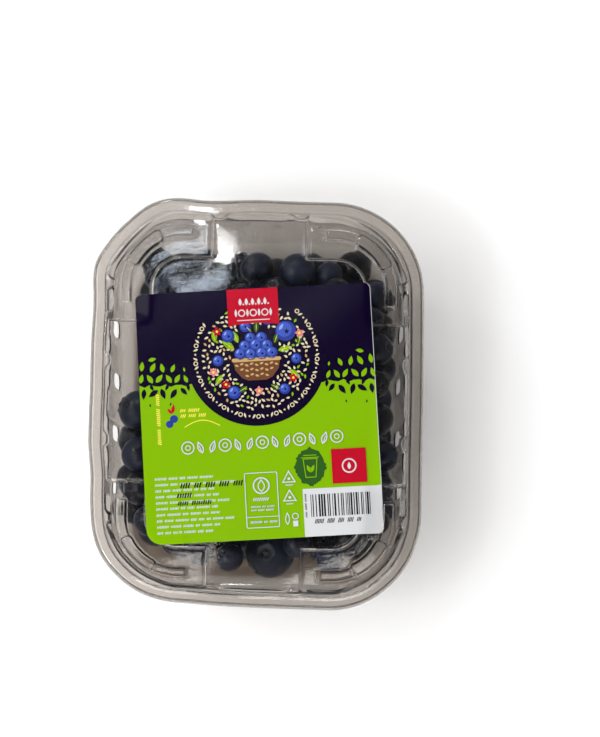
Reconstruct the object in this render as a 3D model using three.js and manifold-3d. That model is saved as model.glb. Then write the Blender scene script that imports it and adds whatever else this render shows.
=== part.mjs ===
import * as THREE from "three";
import { mergeVertices } from "three/addons/utils/BufferGeometryUtils.js";
import Module from "manifold-3d";

// A clear plastic punnet of blueberries, shut with a clip-on lid that carries a paper label.
// Millimetres, +Z up, +Y along the long side. The origin is the middle of the base.

const wasm = await Module();
wasm.setup();

// Driving sizes
const sheet = 0.5; // formed plastic
const gap = 0.3; // between parts that touch
const pack = { width: 118, length: 145.6, corner: 32, height: 42 };
const lid = {
  skirt: 3.2, // how far the edge turns down
  flare: 0.3, // how far it leans out
  ridge: 5.3, // from the outer edge to the step
  slope: 1.2, // how far each step leans
  panelDrop: 1.2, // middle panel below the rim
  pocketDrop: 3.4, // corner pockets below the rim
  panelEdge: 20.5, // from the outer edge to the panel's side
  armHalfLong: 28, // half width of the panel's arm to each long side
  armHalfShort: 16.3,
  band: { from: 9.6, to: 14.3, rise: 1.7, startLong: 34.6, startShort: 23.2 },
  lug: { from: 8.9, to: 15.1, rise: 3.6, start: 22, end: 68 }, // start and end in degrees round the corner
  cornerTurns: [10, 34, 45, 56, 80],
};
const tray = {
  edge: 1.1,
  mouth: 4.2, // from the outer edge to the mouth's wall
  mouthLean: 0.4,
  mouthDepth: 4.8,
  ledge: 6.5,
  wallTop: 6.8,
  wallDrop: 7, // from the rim to the top of the plain wall
  wallFoot: 10.2,
  footHeight: 5.5,
  fillet: { inset: 12.4, height: 1.7 },
  footRing: [14.6, 19],
  floorRise: 1.1,
  cornerSteps: 6,
};
const flute = { depth: 1.1, half: 6.5, slope: 2.2, long: [-28, 0, 28], short: [-14.5, 14.5], footShare: 0.7 };
const vent = { wide: 5.4, tall: 13.5, height: 19, along: [-28.1, -9.4, 9.4, 28.1], inset: 9 };
const slot = { wide: 3, long: 13, x: [-15, 15], y: [-26, 0, 26] };
const cutDepth = 16;
const label = { width: 83.2, length: 89, corner: 2.5, thick: 0.25, x: 1, y: -3.9, turn: 4.3 };
const heap = {
  seed: 20, // starts the seeded draw
  hidden: 110, // berries besides those of the list below
  least: 12,
  most: 15.4,
  top: 36, // highest point
  fall: 16, // how much lower it is at the far end and by the far left wall
  farSlope: [47.5, 67.5],
  leftSlope: [-35, -47],
  leftFrom: [4.5, 12.5],
  farEdge: 58.6, // no berry reaches past these three
  nearEdge: -60.5,
  hiddenNear: -53, // the same for the berries off the list
  leftEdge: -43, // only beyond leftFrom
  // the heap's slanting near corners: the way out of each, and how far out it reaches
  nearCuts: [{ way: [-0.5, -0.866], reach: 61.5 }, { way: [0.6, -0.8], reach: 64.5 }],
  tuck: 6.5, // how much lower the berries off the list stay where they would show
  sides: { showing: [10, 6], hidden: [7, 5] },
  core: { side: 4.5, top: 6, bottom: 0 }, // how far it is behind the berries' outer faces
};
const settling = { rounds: 420, sinking: 252, sink: 0.06, push: 0.42, homing: 0.25 };
// The berries that show round the label: across, along, and diameter.
const showing = [
  [-19.9, 52.8, 10.3], [-40.9, 42.7, 10.3], [-34.8, 44.4, 11.4], [-25.9, 41, 10.7], [-21.1, 42.6, 11],
  [-14, 49.5, 11.6], [-0.9, 50.1, 12.6], [12.8, 48.1, 13.3], [25.5, 47.5, 11.2], [33, 54.6, 13.5],
  [6.3, 41.3, 11.7], [27.6, 41.9, 11], [41.1, 40.6, 11], [40.2, 30.4, 10.3], [42.1, 22.4, 12.2],
  [41.2, 9.3, 12.3], [42.4, -3.7, 12.8], [44.9, -16.8, 11.6], [43.5, -28, 11], [42.6, -40.4, 11],
  [32.7, -47.4, 11], [28, -53.3, 10.2], [24.6, -48.3, 12.1], [14.8, -48.9, 10.7], [6, -52.1, 18.1],
  [-8.7, -53.9, 10.4], [-18.4, -52.2, 10.5], [-29, -49.4, 9.9], [-42, -2, 14.6], [-41.7, -18.4, 12.5],
  [-40.9, -30.1, 12.2], [-37.3, -40.8, 11.4],
];

const halfX = pack.width / 2;
const halfY = pack.length / 2;
const straightY = halfY - pack.corner; // half of a long side's straight stretch
const straightX = halfX - pack.corner;
const cornerArc = (pack.corner * Math.PI) / 2;
const quarter = straightY + cornerArc + straightX; // rim length from a long side's middle to a short side's
const lidRim = pack.height - sheet / 2 - (lid.lug.rise - lid.pocketDrop); // the lugs stand highest
const trayRim = lidRim - sheet - gap;

// A stop is a place on the rim: `q` is its way along the rim from the middle of a long side.
function stopAt(q) {
  const turn = Math.min(Math.max((q - straightY) / pack.corner, 0), Math.PI / 2);
  return {
    q,
    base: [straightX - Math.max(q - straightY - cornerArc, 0), Math.min(q, straightY)],
    normal: [Math.cos(turn), Math.sin(turn)],
  };
}

// All the way round, counterclockwise, from the stops of one quarter.
function roundTheRim(quarterStops) {
  const stops = [...new Set([0, ...quarterStops, quarter])].sort((a, b) => a - b).map(stopAt);
  const mirrored = (sx, sy, list) =>
    list.map((s) => ({
      q: s.q,
      base: [sx * s.base[0], sy * s.base[1]],
      normal: [sx * s.normal[0], sy * s.normal[1]],
    }));
  const back = [...stops].reverse();
  return [
    ...stops,
    ...mirrored(-1, 1, back).slice(1),
    ...mirrored(-1, -1, stops).slice(1),
    ...mirrored(1, -1, back).slice(1, -1),
  ];
}

const pointAt = (stop, inset, z) =>
  new THREE.Vector3(
    stop.base[0] + stop.normal[0] * (pack.corner - inset),
    stop.base[1] + stop.normal[1] * (pack.corner - inset),
    z,
  );

// 1 between from and to, 0 outside them, with a slope outside each end.
function between(value, from, to, slope) {
  const rise = (value - from + slope) / slope;
  const fall = (to + slope - value) / slope;
  return Math.max(0, Math.min(1, rise, fall));
}

const evenly = (from, to, count) =>
  Array.from({ length: count + 1 }, (_, i) => from + ((to - from) * i) / count);

// A closed solid as manifold-3d holds it.
function solidOf(geometry) {
  const bare = geometry.clone();
  bare.deleteAttribute("normal");
  bare.deleteAttribute("uv");
  const merged = mergeVertices(bare, 1e-4);
  return new wasm.Manifold(
    new wasm.Mesh({
      numProp: 3,
      vertProperties: merged.attributes.position.array,
      triVerts: new Uint32Array(merged.index.array),
    }),
  );
}

// The largest body of a solid, with no hollow left inside it.
function largestBody(solid) {
  return solid.decompose().reduce((best, body) => (body.volume() > best.volume() ? body : best));
}

function geometryOf(solid) {
  const { numProp, vertProperties, triVerts } = solid.getMesh();
  const points = new Float32Array((vertProperties.length / numProp) * 3);
  for (let i = 0; i < points.length / 3; i++) {
    points.set(vertProperties.subarray(i * numProp, i * numProp + 3), i * 3);
  }
  return new THREE.BufferGeometry()
    .setAttribute("position", new THREE.BufferAttribute(points, 3))
    .setIndex(new THREE.BufferAttribute(new Uint32Array(triVerts), 1));
}

// A solid between an upper and a lower skin of rings, each closed at its middle point.
function solidOfSkins(upper, lower) {
  const count = upper.rings[0].length;
  const points = [...upper.rings.flat(), upper.middle, ...lower.rings.flat(), lower.middle];
  const indices = [];
  const skin = (offset, rings, flip) => {
    const tri = (a, b, c) => indices.push(...(flip ? [a, c, b] : [a, b, c]));
    for (let r = 0; r < rings; r++) {
      for (let s = 0; s < count; s++) {
        const next = (s + 1) % count;
        const [a, b] = [offset + r * count + s, offset + r * count + next];
        if (r === rings - 1) {
          tri(a, b, offset + rings * count);
        } else {
          tri(a, b, b + count);
          tri(a, b + count, a + count);
        }
      }
    }
  };
  const lowerStart = upper.rings.length * count + 1;
  skin(0, upper.rings.length, false);
  skin(lowerStart, lower.rings.length, true);
  for (let s = 0; s < count; s++) {
    const next = (s + 1) % count;
    indices.push(s, lowerStart + s, lowerStart + next, s, lowerStart + next, next);
  }
  const positions = new Float32Array(points.flatMap((p) => p.toArray()));
  return new THREE.BufferGeometry()
    .setAttribute("position", new THREE.BufferAttribute(positions, 3))
    .setIndex(indices);
}

// A formed sheet of even thickness: its middle surface as rings from the outer edge inwards.
function formedSheet(rings, middle) {
  const count = rings[0].length;
  const faceNormal = (r, s) => {
    const along = rings[r][(s + 1) % count].clone().sub(rings[r][(s + count - 1) % count]);
    const inwards = (rings[r + 1] ? rings[r + 1][s] : middle).clone().sub(rings[r][s]);
    return along.cross(inwards).normalize();
  };
  const moved = (side) => ({
    rings: rings.map((ring, r) =>
      ring.map((point, s) => {
        const here = faceNormal(r, s);
        const before = r > 0 ? faceNormal(r - 1, s) : here;
        const normal = here.clone().add(before).normalize();
        const mitre = 1 / Math.max(0.6, normal.dot(here));
        return point.clone().addScaledVector(normal, (side * mitre * sheet) / 2);
      }),
    ),
    middle: middle.clone().add(new THREE.Vector3(0, 0, (side * sheet) / 2)),
  });
  return solidOfSkins(moved(1), moved(-1));
}

const turnAt = (degrees) => straightY + pack.corner * THREE.MathUtils.degToRad(degrees);

// How high the lid's middle surface is, by the way round the rim and the inset from the edge.
function lidHeight(q, inset) {
  const { slope, band, lug } = lid;
  const inside = (value, from, to) => between(value, from + slope, to - slope, slope);
  const onBand = inside(q, band.startLong, quarter - band.startShort) * inside(inset, band.from, band.to);
  const onLug = inside(q, turnAt(lug.start), turnAt(lug.end)) * inside(inset, lug.from, lug.to);
  const onArm = 1 - inside(q, lid.armHalfLong, quarter - lid.armHalfShort);
  const onPanel = Math.max(onArm, inside(inset, lid.panelEdge, halfY));
  const pocket = Math.max(band.rise * onBand, lug.rise * onLug) - lid.pocketDrop;
  return lidRim + pocket - onPanel * (lid.panelDrop + pocket);
}

function makeLid() {
  const { slope, band, lug } = lid;
  const bandEnd = quarter - band.startShort;
  const armEnd = quarter - lid.armHalfShort;
  const stops = roundTheRim([
    lid.armHalfLong, lid.armHalfLong + slope,
    band.startLong, band.startLong + slope, straightY,
    turnAt(lug.start), turnAt(lug.start) + slope,
    ...lid.cornerTurns.map(turnAt),
    turnAt(lug.end) - slope, turnAt(lug.end), straightY + cornerArc,
    bandEnd - slope, bandEnd, armEnd - slope, armEnd,
  ]);
  const insets = [
    lid.ridge + slope,
    lug.from, lug.from + slope,
    lug.to - slope, lug.to,
    lid.panelEdge, lid.panelEdge + slope,
  ];
  const rings = [
    stops.map((stop) => pointAt(stop, sheet / 2, lidRim - lid.skirt)),
    stops.map((stop) => pointAt(stop, sheet / 2 + lid.flare, lidRim)),
    stops.map((stop) => pointAt(stop, lid.ridge, lidRim)),
    ...insets.map((inset) => stops.map((stop) => pointAt(stop, inset, lidHeight(stop.q, inset)))),
  ];
  return formedSheet(rings, new THREE.Vector3(0, 0, lidRim - lid.panelDrop));
}

// The tray's wall bulges outwards in shallow upright flutes.
function fluteAt(stop) {
  if (stop.q > straightY && stop.q < straightY + cornerArc) return 0;
  const onLongSide = stop.q <= straightY;
  const along = onLongSide ? stop.base[1] : stop.base[0];
  const reach = flute.half - flute.slope;
  const places = onLongSide ? flute.long : flute.short;
  return flute.depth * Math.max(...places.map((p) => between(along, p - reach, p + reach, flute.slope)));
}

function makeTray() {
  const edges = [-flute.half, flute.slope - flute.half, flute.half - flute.slope, flute.half];
  const longStops = flute.long.flatMap((p) => edges.map((e) => p + e)).filter((q) => q > 0);
  const shortStops = flute.short.flatMap((p) => edges.map((e) => quarter - (p + e)));
  const corner = evenly(straightY, straightY + cornerArc, tray.cornerSteps);
  const stops = roundTheRim([...longStops, ...shortStops.filter((q) => q < quarter), ...corner]);
  const floor = sheet / 2;
  const wallTopZ = trayRim - tray.wallDrop;
  const profile = [
    [tray.edge, trayRim],
    [tray.mouth, trayRim],
    [tray.mouth + tray.mouthLean, trayRim - tray.mouthDepth],
    [tray.ledge, trayRim - tray.mouthDepth - tray.mouthLean],
    [tray.wallTop, wallTopZ, 1],
    [tray.wallFoot, tray.footHeight, flute.footShare],
    [tray.fillet.inset, tray.fillet.height],
    [tray.footRing[0], floor],
    [tray.footRing[1], floor],
    [tray.footRing[1] + tray.floorRise, floor + tray.floorRise],
  ];
  const rings = profile.map(([inset, z, share = 0]) =>
    stops.map((stop) => pointAt(stop, inset - share * fluteAt(stop), z)),
  );
  const shell = solidOf(formedSheet(rings, new THREE.Vector3(0, 0, floor + tray.floorRise)));
  return geometryOf(largestBody(shell.subtract(wasm.Manifold.union(trayCutters()))));
}

// An upright slot with round ends, `wide` along X and `long` along Y, cut through along Z.
function slotShape(wide, long) {
  const shape = new THREE.Shape();
  const reach = (long - wide) / 2;
  shape.absarc(0, reach, wide / 2, 0, Math.PI, false);
  shape.absarc(0, -reach, wide / 2, Math.PI, 2 * Math.PI, false);
  return shape;
}

function cutter(wide, long, turn, place) {
  const geometry = new THREE.ExtrudeGeometry(slotShape(wide, long), {
    depth: cutDepth,
    bevelEnabled: false,
    curveSegments: 4,
  });
  geometry.translate(0, 0, -cutDepth / 2);
  geometry.applyMatrix4(turn.clone().setPosition(...place));
  return solidOf(geometry);
}

function trayCutters() {
  const throughWall = new THREE.Matrix4().makeBasis(
    new THREE.Vector3(0, 1, 0),
    new THREE.Vector3(0, 0, 1),
    new THREE.Vector3(1, 0, 0),
  );
  const ventAt = (x, y) => cutter(vent.wide, vent.tall, throughWall, [x, y, vent.height]);
  const overX = halfX - vent.inset;
  return [
    ...vent.along.flatMap((y) => [ventAt(overX, y), ventAt(-overX, y)]),
    ...slot.x.flatMap((x) => slot.y.map((y) => cutter(slot.wide, slot.long, new THREE.Matrix4(), [x, y, 0]))),
  ];
}

function makeLabel() {
  const [x, y, r] = [label.width / 2, label.length / 2, label.corner];
  const shape = new THREE.Shape();
  shape.absarc(x - r, y - r, r, 0, Math.PI / 2, false);
  shape.absarc(-x + r, y - r, r, Math.PI / 2, Math.PI, false);
  shape.absarc(-x + r, -y + r, r, Math.PI, 1.5 * Math.PI, false);
  shape.absarc(x - r, -y + r, r, 1.5 * Math.PI, 2 * Math.PI, false);
  return new THREE.ExtrudeGeometry(shape, { depth: label.thick, bevelEnabled: false, curveSegments: 3 });
}

// How far a place is inside the rim's outline, and which way is inwards.
function insideRim(x, y) {
  const [dx, dy] = [Math.abs(x) - straightX, Math.abs(y) - straightY];
  const [sx, sy] = [x < 0 ? -1 : 1, y < 0 ? -1 : 1];
  if (dx > 0 && dy > 0) {
    const far = Math.hypot(dx, dy);
    return { inset: pack.corner - far, inwards: [(-sx * dx) / far, (-sy * dy) / far] };
  }
  return dx > dy
    ? { inset: pack.corner - dx, inwards: [-sx, 0] }
    : { inset: pack.corner - dy, inwards: [0, -sy] };
}

const wallLean = (tray.wallFoot - tray.wallTop) / (trayRim - tray.wallDrop - tray.footHeight);
const wallInset = (z) => tray.wallTop + wallLean * (trayRim - tray.wallDrop - z) + sheet / 2 + gap;
const heapFloor = sheet + tray.floorRise + gap;
const ramp = (value, [from, to]) => Math.max(0, Math.min(1, (value - from) / (to - from)));

function heapTop(x, y) {
  const low = Math.max(ramp(y, heap.farSlope), ramp(x, heap.leftSlope) * ramp(y, heap.leftFrom));
  return heap.top - heap.fall * low;
}

// Whether a place is well under the label.
function underLabel(x, y) {
  const turn = THREE.MathUtils.degToRad(label.turn);
  const [dx, dy] = [x - label.x, y - label.y];
  const across = dx * Math.cos(turn) + dy * Math.sin(turn);
  const along = dy * Math.cos(turn) - dx * Math.sin(turn);
  const margin = heap.tuck;
  return Math.abs(across) < label.width / 2 - margin && Math.abs(along) < label.length / 2 - margin;
}

// The berries before they settle: those that show, then others drawn anywhere in the tray.
function looseBerries() {
  let state = heap.seed;
  const draw = () => {
    state = (state * 16807) % 2147483647;
    return state / 2147483647;
  };
  const berries = showing.map(([x, y, d]) => ({ x, y, z: heapTop(x, y) - d / 2, r: d / 2, home: [x, y] }));
  for (let i = 0; i < heap.hidden; i++) {
    const r = (heap.least + (heap.most - heap.least) * draw()) / 2;
    const x = (draw() * 2 - 1) * (halfX - tray.footRing[0]);
    const y = (draw() * 2 - 1) * (halfY - tray.footRing[1]);
    berries.push({ x, y, z: r + (heapTop(x, y) - 2 * r) * draw(), r });
  }
  return berries;
}

// Moves a ball in from the heap's slanting near corners.
function keepOffCorners(b) {
  for (const { way, reach } of heap.nearCuts) {
    const over = Math.max(0, way[0] * b.x + way[1] * b.y + b.r - reach);
    b.x -= way[0] * over;
    b.y -= way[1] * over;
  }
}

// Holds a berry between the floor and the heap's top, and inside the wall and the heap's edges.
function holdIn(b) {
  const shown = b.home || underLabel(b.x, b.y);
  const top = heapTop(b.x, b.y) - (shown ? 0 : heap.tuck);
  b.z = Math.max(heapFloor + b.r, Math.min(top - b.r, b.z));
  const { inset, inwards } = insideRim(b.x, b.y);
  const short = Math.max(0, wallInset(b.z) + b.r * Math.hypot(1, wallLean) - inset);
  b.x += inwards[0] * short;
  b.y = Math.min(b.y + inwards[1] * short, heap.farEdge - b.r);
  if (b.y > heap.leftFrom[0]) b.x = Math.max(b.x, heap.leftEdge + b.r);
  keepOffCorners(b);
  b.y = Math.max(b.y, (b.home ? heap.nearEdge : heap.hiddenNear) + b.r);
}

// Settles the berries: each round they sink a little and push apart, and the tray holds them in.
function settledBerries() {
  const berries = looseBerries();
  for (let round = 0; round < settling.rounds; round++) {
    const sink = round < settling.sinking ? settling.sink : 0;
    const moves = berries.map(() => [0, 0, -sink]);
    for (let i = 0; i < berries.length; i++) {
      for (let j = i + 1; j < berries.length; j++) {
        const [a, b] = [berries[i], berries[j]];
        const away = [b.x - a.x, b.y - a.y, b.z - a.z];
        const far = Math.hypot(...away);
        const push = (settling.push * (a.r + b.r - far)) / far;
        if (push <= 0) continue;
        away.forEach((d, k) => {
          moves[i][k] -= push * d;
          moves[j][k] += push * d;
        });
      }
    }
    berries.forEach((b, i) => {
      b.x += moves[i][0];
      b.y += moves[i][1];
      b.z += moves[i][2];
      if (b.home) {
        b.x += settling.homing * (b.home[0] - b.x);
        b.y += settling.homing * (b.home[1] - b.y);
      }
      holdIn(b);
    });
  }
  return berries;
}

// A berry with few sides, its points on the true ball.
function berrySolid(berry, index) {
  const geometry = new THREE.SphereGeometry(berry.r, ...heap.sides[berry.home ? "showing" : "hidden"]);
  geometry.rotateX(1.1 * index);
  geometry.rotateZ(0.7 * index);
  geometry.translate(berry.x, berry.y, berry.z);
  return solidOf(geometry);
}

// What fills the middle of the heap, behind the berries that show.
function heapCore() {
  const corner = evenly(straightY, straightY + cornerArc, 3);
  const stops = roundTheRim([heap.leftFrom[0], heap.leftFrom[1], ...corner]);
  const edge = wallInset(heap.top / 2) + heap.core.side;
  const spots = stops.map((stop) => {
    const { x, y } = pointAt(stop, edge, 0);
    const leftmost = y > heap.leftFrom[0] ? heap.leftEdge + heap.core.side : x;
    const spot = { x: Math.max(x, leftmost), y: Math.min(y, heap.farEdge - heap.core.side), r: heap.core.side };
    keepOffCorners(spot);
    return [spot.x, Math.max(spot.y, heap.nearEdge + heap.core.side)];
  });
  const over = (x, y) => heapTop(x, y) - heap.core.top;
  const under = heapFloor + heap.core.bottom;
  const upper = {
    rings: [spots.map(([x, y]) => new THREE.Vector3(x, y, over(x, y)))],
    middle: new THREE.Vector3(0, 0, over(0, 0)),
  };
  const lower = {
    rings: [spots.map(([x, y]) => new THREE.Vector3(x, y, under))],
    middle: new THREE.Vector3(0, 0, under),
  };
  return solidOf(solidOfSkins(upper, lower));
}

function makeHeap() {
  const solids = settledBerries().map(berrySolid);
  return geometryOf(largestBody(wasm.Manifold.union([heapCore(), ...solids])));
}

const punnet = new THREE.Group();

function addPiece(name, geometry, material) {
  const mesh = new THREE.Mesh(geometry, material);
  mesh.name = name;
  punnet.add(mesh);
  return mesh;
}

const clearPlastic = new THREE.MeshStandardMaterial({
  color: 0xcfc9c1,
  roughness: 0.08,
  metalness: 0,
  transparent: true,
  opacity: 0.35,
});
const berrySkin = new THREE.MeshStandardMaterial({ color: 0x23242f, roughness: 0.5, metalness: 0 });
const printedPaper = new THREE.MeshStandardMaterial({ color: 0x86be18, roughness: 0.35, metalness: 0 });

addPiece("tray", makeTray(), clearPlastic);
addPiece("berries", makeHeap(), berrySkin);
addPiece("lid", makeLid(), clearPlastic);
const labelPiece = addPiece("label", makeLabel(), printedPaper);
labelPiece.position.set(label.x, label.y, lidRim - lid.panelDrop + sheet / 2 + gap);
labelPiece.rotation.z = THREE.MathUtils.degToRad(label.turn);

export default punnet;
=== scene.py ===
from math import ceil, cos, hypot, pi, radians, sin, sqrt

import bmesh
import bpy
import numpy as np
from mathutils import Matrix, Vector


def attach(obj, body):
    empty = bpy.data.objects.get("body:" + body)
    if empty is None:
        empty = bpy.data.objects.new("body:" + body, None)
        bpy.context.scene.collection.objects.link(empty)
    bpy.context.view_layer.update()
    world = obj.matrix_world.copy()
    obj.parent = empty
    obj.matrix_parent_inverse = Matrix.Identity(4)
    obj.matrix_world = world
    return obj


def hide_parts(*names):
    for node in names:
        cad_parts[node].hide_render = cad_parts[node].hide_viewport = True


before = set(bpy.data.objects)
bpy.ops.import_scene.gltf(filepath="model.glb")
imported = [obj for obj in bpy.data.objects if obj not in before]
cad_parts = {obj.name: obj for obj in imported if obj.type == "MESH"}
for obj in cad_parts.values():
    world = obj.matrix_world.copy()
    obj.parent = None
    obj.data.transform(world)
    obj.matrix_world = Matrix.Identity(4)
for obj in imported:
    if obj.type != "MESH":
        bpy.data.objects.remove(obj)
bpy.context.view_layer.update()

# A shut punnet of blueberries, seen from above. Shapes are worked out in millimetres
# and become metres when a mesh is made.
metre = 0.001
scene = bpy.context.scene

# What the whole pack shares: the outline seen from above and the plastic's thickness.
pack = {
    "width": 118.0,
    "length": 145.6,
    "corner": 32.0,
    "sheet": 0.45,
    "lidRim": 41.45,   # middle of the lid's sheet
    # how far handling has pushed the edge in: degrees round the pack, millimetres
    "worn": (
        (0, 0.2), (20, 0.35), (30, 0.5), (40, 0.85), (50, 1.05), (60, 1.0), (70, 0.6), (80, 0.45), (90, 0.15),
        (95, 0.3), (100, 0.75), (105, 0.85), (110, 0.1), (112, 0.05), (115, -0.35), (120, 0.1), (125, 1.2),
        (130, 1.35), (135, 0.9), (140, -0.3), (145, 0.25), (150, 0.55), (155, 0.3), (160, 0.05), (170, 0.05),
        (177, 0.15), (183, 0.0), (195, 0.0), (200, 0.6), (205, 1.2), (210, 1.1), (217, 1.75), (225, 1.85),
        (232, 2.35), (240, 2.2), (246, 2.15), (252, 1.7), (260, 0.95), (270, 0.5), (280, 0.3), (292, 0.15),
        (300, 0.5), (306, 0.9), (320, 0.95), (326, 0.25), (340, 0.35), (350, 0.3), (360, 0.2),
    ),
    "wornBlur": 1.5,   # degrees either way
    "wornReach": (3.0, 16.0),   # insets between which that fades
    "sharp": 38,   # degrees; the sheet's edges sharper than this stay hard
    # points on a quarter of the rim: along the long side, the corner, the short side and each extra stretch
    "stops": {"long": 40, "corner": 58, "short": 27, "extra": 6, "closest": 0.16},
}
straightX = pack["width"] / 2 - pack["corner"]
straightY = pack["length"] / 2 - pack["corner"]
cornerArc = pi / 2 * pack["corner"]
quarterLength = straightY + cornerArc + straightX


def ease(value, start, end):
    t = np.clip((value - start) / (end - start), 0, 1)
    return t * t * (3 - 2 * t)


def plateau(value, start, end, slope):   # 1 in the middle of start..end, 0 outside
    return ease(value, start, start + slope) * (1 - ease(value, end - slope, end))


def newMesh(name, points, faces):
    mesh = bpy.data.meshes.new(name)
    mesh.from_pydata((np.asarray(points, float) * metre).tolist(), [], faces)
    mesh.update()
    return mesh


def newObject(name, mesh):
    obj = bpy.data.objects.new(name, mesh)
    scene.collection.objects.link(obj)
    return obj


def applied(obj, sharpAngle):   # bakes the modifiers into the mesh and smooths it
    graph = bpy.context.evaluated_depsgraph_get()
    mesh = bpy.data.meshes.new_from_object(obj.evaluated_get(graph))
    obj.modifiers.clear()
    obj.data = mesh
    mesh.shade_smooth()
    mesh.set_sharp_from_angle(angle=radians(sharpAngle))
    return obj


def rimStops(extra):   # every ring of the lid and the tray runs along these
    stops = pack["stops"]
    along = np.sort(np.concatenate([
        np.linspace(0, straightY, stops["long"]),
        straightY + np.linspace(0, cornerArc, stops["corner"]),
        quarterLength - np.linspace(0, straightX, stops["short"]),
        *[np.linspace(start, end, stops["extra"]) for start, end in extra],
    ]))
    kept = [0.0]
    for q in along:
        if q - kept[-1] > stops["closest"]:
            kept.append(float(q))
    kept[-1] = quarterLength
    q = np.array(kept)
    turn = np.clip((q - straightY) / pack["corner"], 0, pi / 2)
    base = np.stack([straightX - np.maximum(q - straightY - cornerArc, 0), np.minimum(q, straightY)], 1)
    normal = np.stack([np.cos(turn), np.sin(turn)], 1)
    rows = [(q, base, normal)]
    for sx, sy, order in ((-1, 1, slice(None, None, -1)), (-1, -1, slice(None)), (1, -1, slice(None, None, -1))):
        sign = np.array([sx, sy])
        rows.append((q[order][1:], (base * sign)[order][1:], (normal * sign)[order][1:]))
    last = rows[-1]
    rows[-1] = (last[0][:-1], last[1][:-1], last[2][:-1])
    q, base, normal = (np.concatenate([row[k] for row in rows]) for k in range(3))
    outer = base + normal * pack["corner"]
    return {"q": q, "base": base, "normal": normal, "angle": np.degrees(np.arctan2(outer[:, 1], outer[:, 0]))}


def edgeShift(angle):
    turns, shifts = zip(*pack["worn"])
    around = np.mod(angle, 360)
    blur = pack["wornBlur"]
    return sum(np.interp(np.mod(around + off, 360), turns, shifts) for off in (-blur, 0, blur)) / 3


def ringPoints(rim, inset, z):
    inset = inset + edgeShift(rim["angle"]) * (1 - ease(inset, *pack["wornReach"]))
    flat = rim["base"] + rim["normal"] * (pack["corner"] - inset)[:, None]
    return np.column_stack([flat, z])


def sheetWave(x, y):   # slow unevenness of formed sheet
    return 0.07 * np.sin(0.09 * x + 0.4) * np.sin(0.07 * y + 1.1) + 0.05 * np.sin(0.16 * y - 0.11 * x)


def sheetOfRings(rings, middle):   # an open surface from the outer ring in to its middle point
    count = len(rings[0])
    points = np.concatenate([*rings, [middle]])
    s = np.arange(count)
    nextS = (s + 1) % count
    faces = []
    for r in range(len(rings) - 1):
        a, b = r * count + s, r * count + nextS
        faces += np.column_stack([a, b, b + count, a + count]).tolist()
    last = (len(rings) - 1) * count
    faces += np.column_stack([last + s, last + nextS, np.full(count, len(points) - 1)]).tolist()
    return points, faces


def solidSheet(name, points, faces, cutters=None, skins=None):
    obj = newObject(name, newMesh(name, points, faces))
    if skins:
        for slot in range(max(skins) + 1):
            obj.data.materials.append(None)
        obj.data.polygons.foreach_set("material_index", skins)
    solid = obj.modifiers.new("thickness", "SOLIDIFY")
    solid.thickness = pack["sheet"] * metre
    solid.offset = 0
    if cutters:
        cut = obj.modifiers.new("holes", "BOOLEAN")
        cut.operation = "DIFFERENCE"
        cut.solver = "EXACT"
        cut.object = cutters
    return applied(obj, pack["sharp"])


def newMaterial(name):
    material = bpy.data.materials.new(name)
    material.use_nodes = True
    tree = material.node_tree
    tree.nodes.clear()
    output = addNode(tree, "OutputMaterial")
    shader = addNode(tree, "BsdfPrincipled")
    tree.links.new(shader.outputs["BSDF"], output.inputs["Surface"])
    return material, tree, shader, output


def addNode(tree, kind, values={}, **settings):
    node = tree.nodes.new("ShaderNode" + kind)
    for key, value in settings.items():
        setattr(node, key, value)
    for label, value in values.items():
        node.inputs[label].default_value = value
    return node


def linkAll(tree, *links):   # rows of: node, its output, next node, its input
    for giver, output, taker, socket in links:
        tree.links.new(giver.outputs[output], taker.inputs[socket])


def newGroup(name, inputs, outputs):
    group = bpy.data.node_groups.new(name, "ShaderNodeTree")
    for label, value in inputs.items():
        kind = "NodeSocketColor" if isinstance(value, tuple) else "NodeSocketFloat"
        group.interface.new_socket(label, in_out="INPUT", socket_type=kind).default_value = value
    for label in outputs:
        kind = "NodeSocketColor" if label == "Color" else "NodeSocketFloat"
        group.interface.new_socket(label, in_out="OUTPUT", socket_type=kind)
    return group, group.nodes.new("NodeGroupInput"), group.nodes.new("NodeGroupOutput")


def useGroup(tree, group, values):
    return addNode(tree, "Group", values, node_tree=group)


def bumpFrom(tree, height, shader, strength, distance):
    bump = addNode(tree, "Bump", {"Strength": strength, "Distance": distance})
    tree.links.new(height, bump.inputs["Height"])
    tree.links.new(bump.outputs["Normal"], shader.inputs["Normal"])


# Slow ripples and fine flow marks of formed sheet, and the scuffs that dull it.
def makeSheetMarks():
    group, source, result = newGroup(
        "sheetMarks",
        {"Ripple Scale": 60.0, "Scuff Scale": 900.0, "Grain": 0.055, "Least Roughness": 0.02, "Most Roughness": 0.1},
        ("Height", "Roughness"),
    )
    place = addNode(group, "TexCoord")
    ripple = addNode(group, "TexNoise", {"Detail": 1.5})
    scuff = addNode(group, "TexNoise", {"Detail": 4.0})
    spread = addNode(group, "MapRange", {"From Min": 0.45, "From Max": 0.75})
    height = addNode(group, "Math", operation="MULTIPLY_ADD")
    linkAll(
        group,
        (place, "Object", ripple, "Vector"), (place, "Object", scuff, "Vector"),
        (source, "Ripple Scale", ripple, "Scale"), (source, "Scuff Scale", scuff, "Scale"),
        (scuff, "Fac", spread, "Value"), (source, "Least Roughness", spread, "To Min"),
        (source, "Most Roughness", spread, "To Max"), (scuff, "Fac", height, 0), (source, "Grain", height, 1),
        (ripple, "Fac", height, 2), (height, "Value", result, "Height"), (spread, "Result", result, "Roughness"),
    )
    return group


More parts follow.
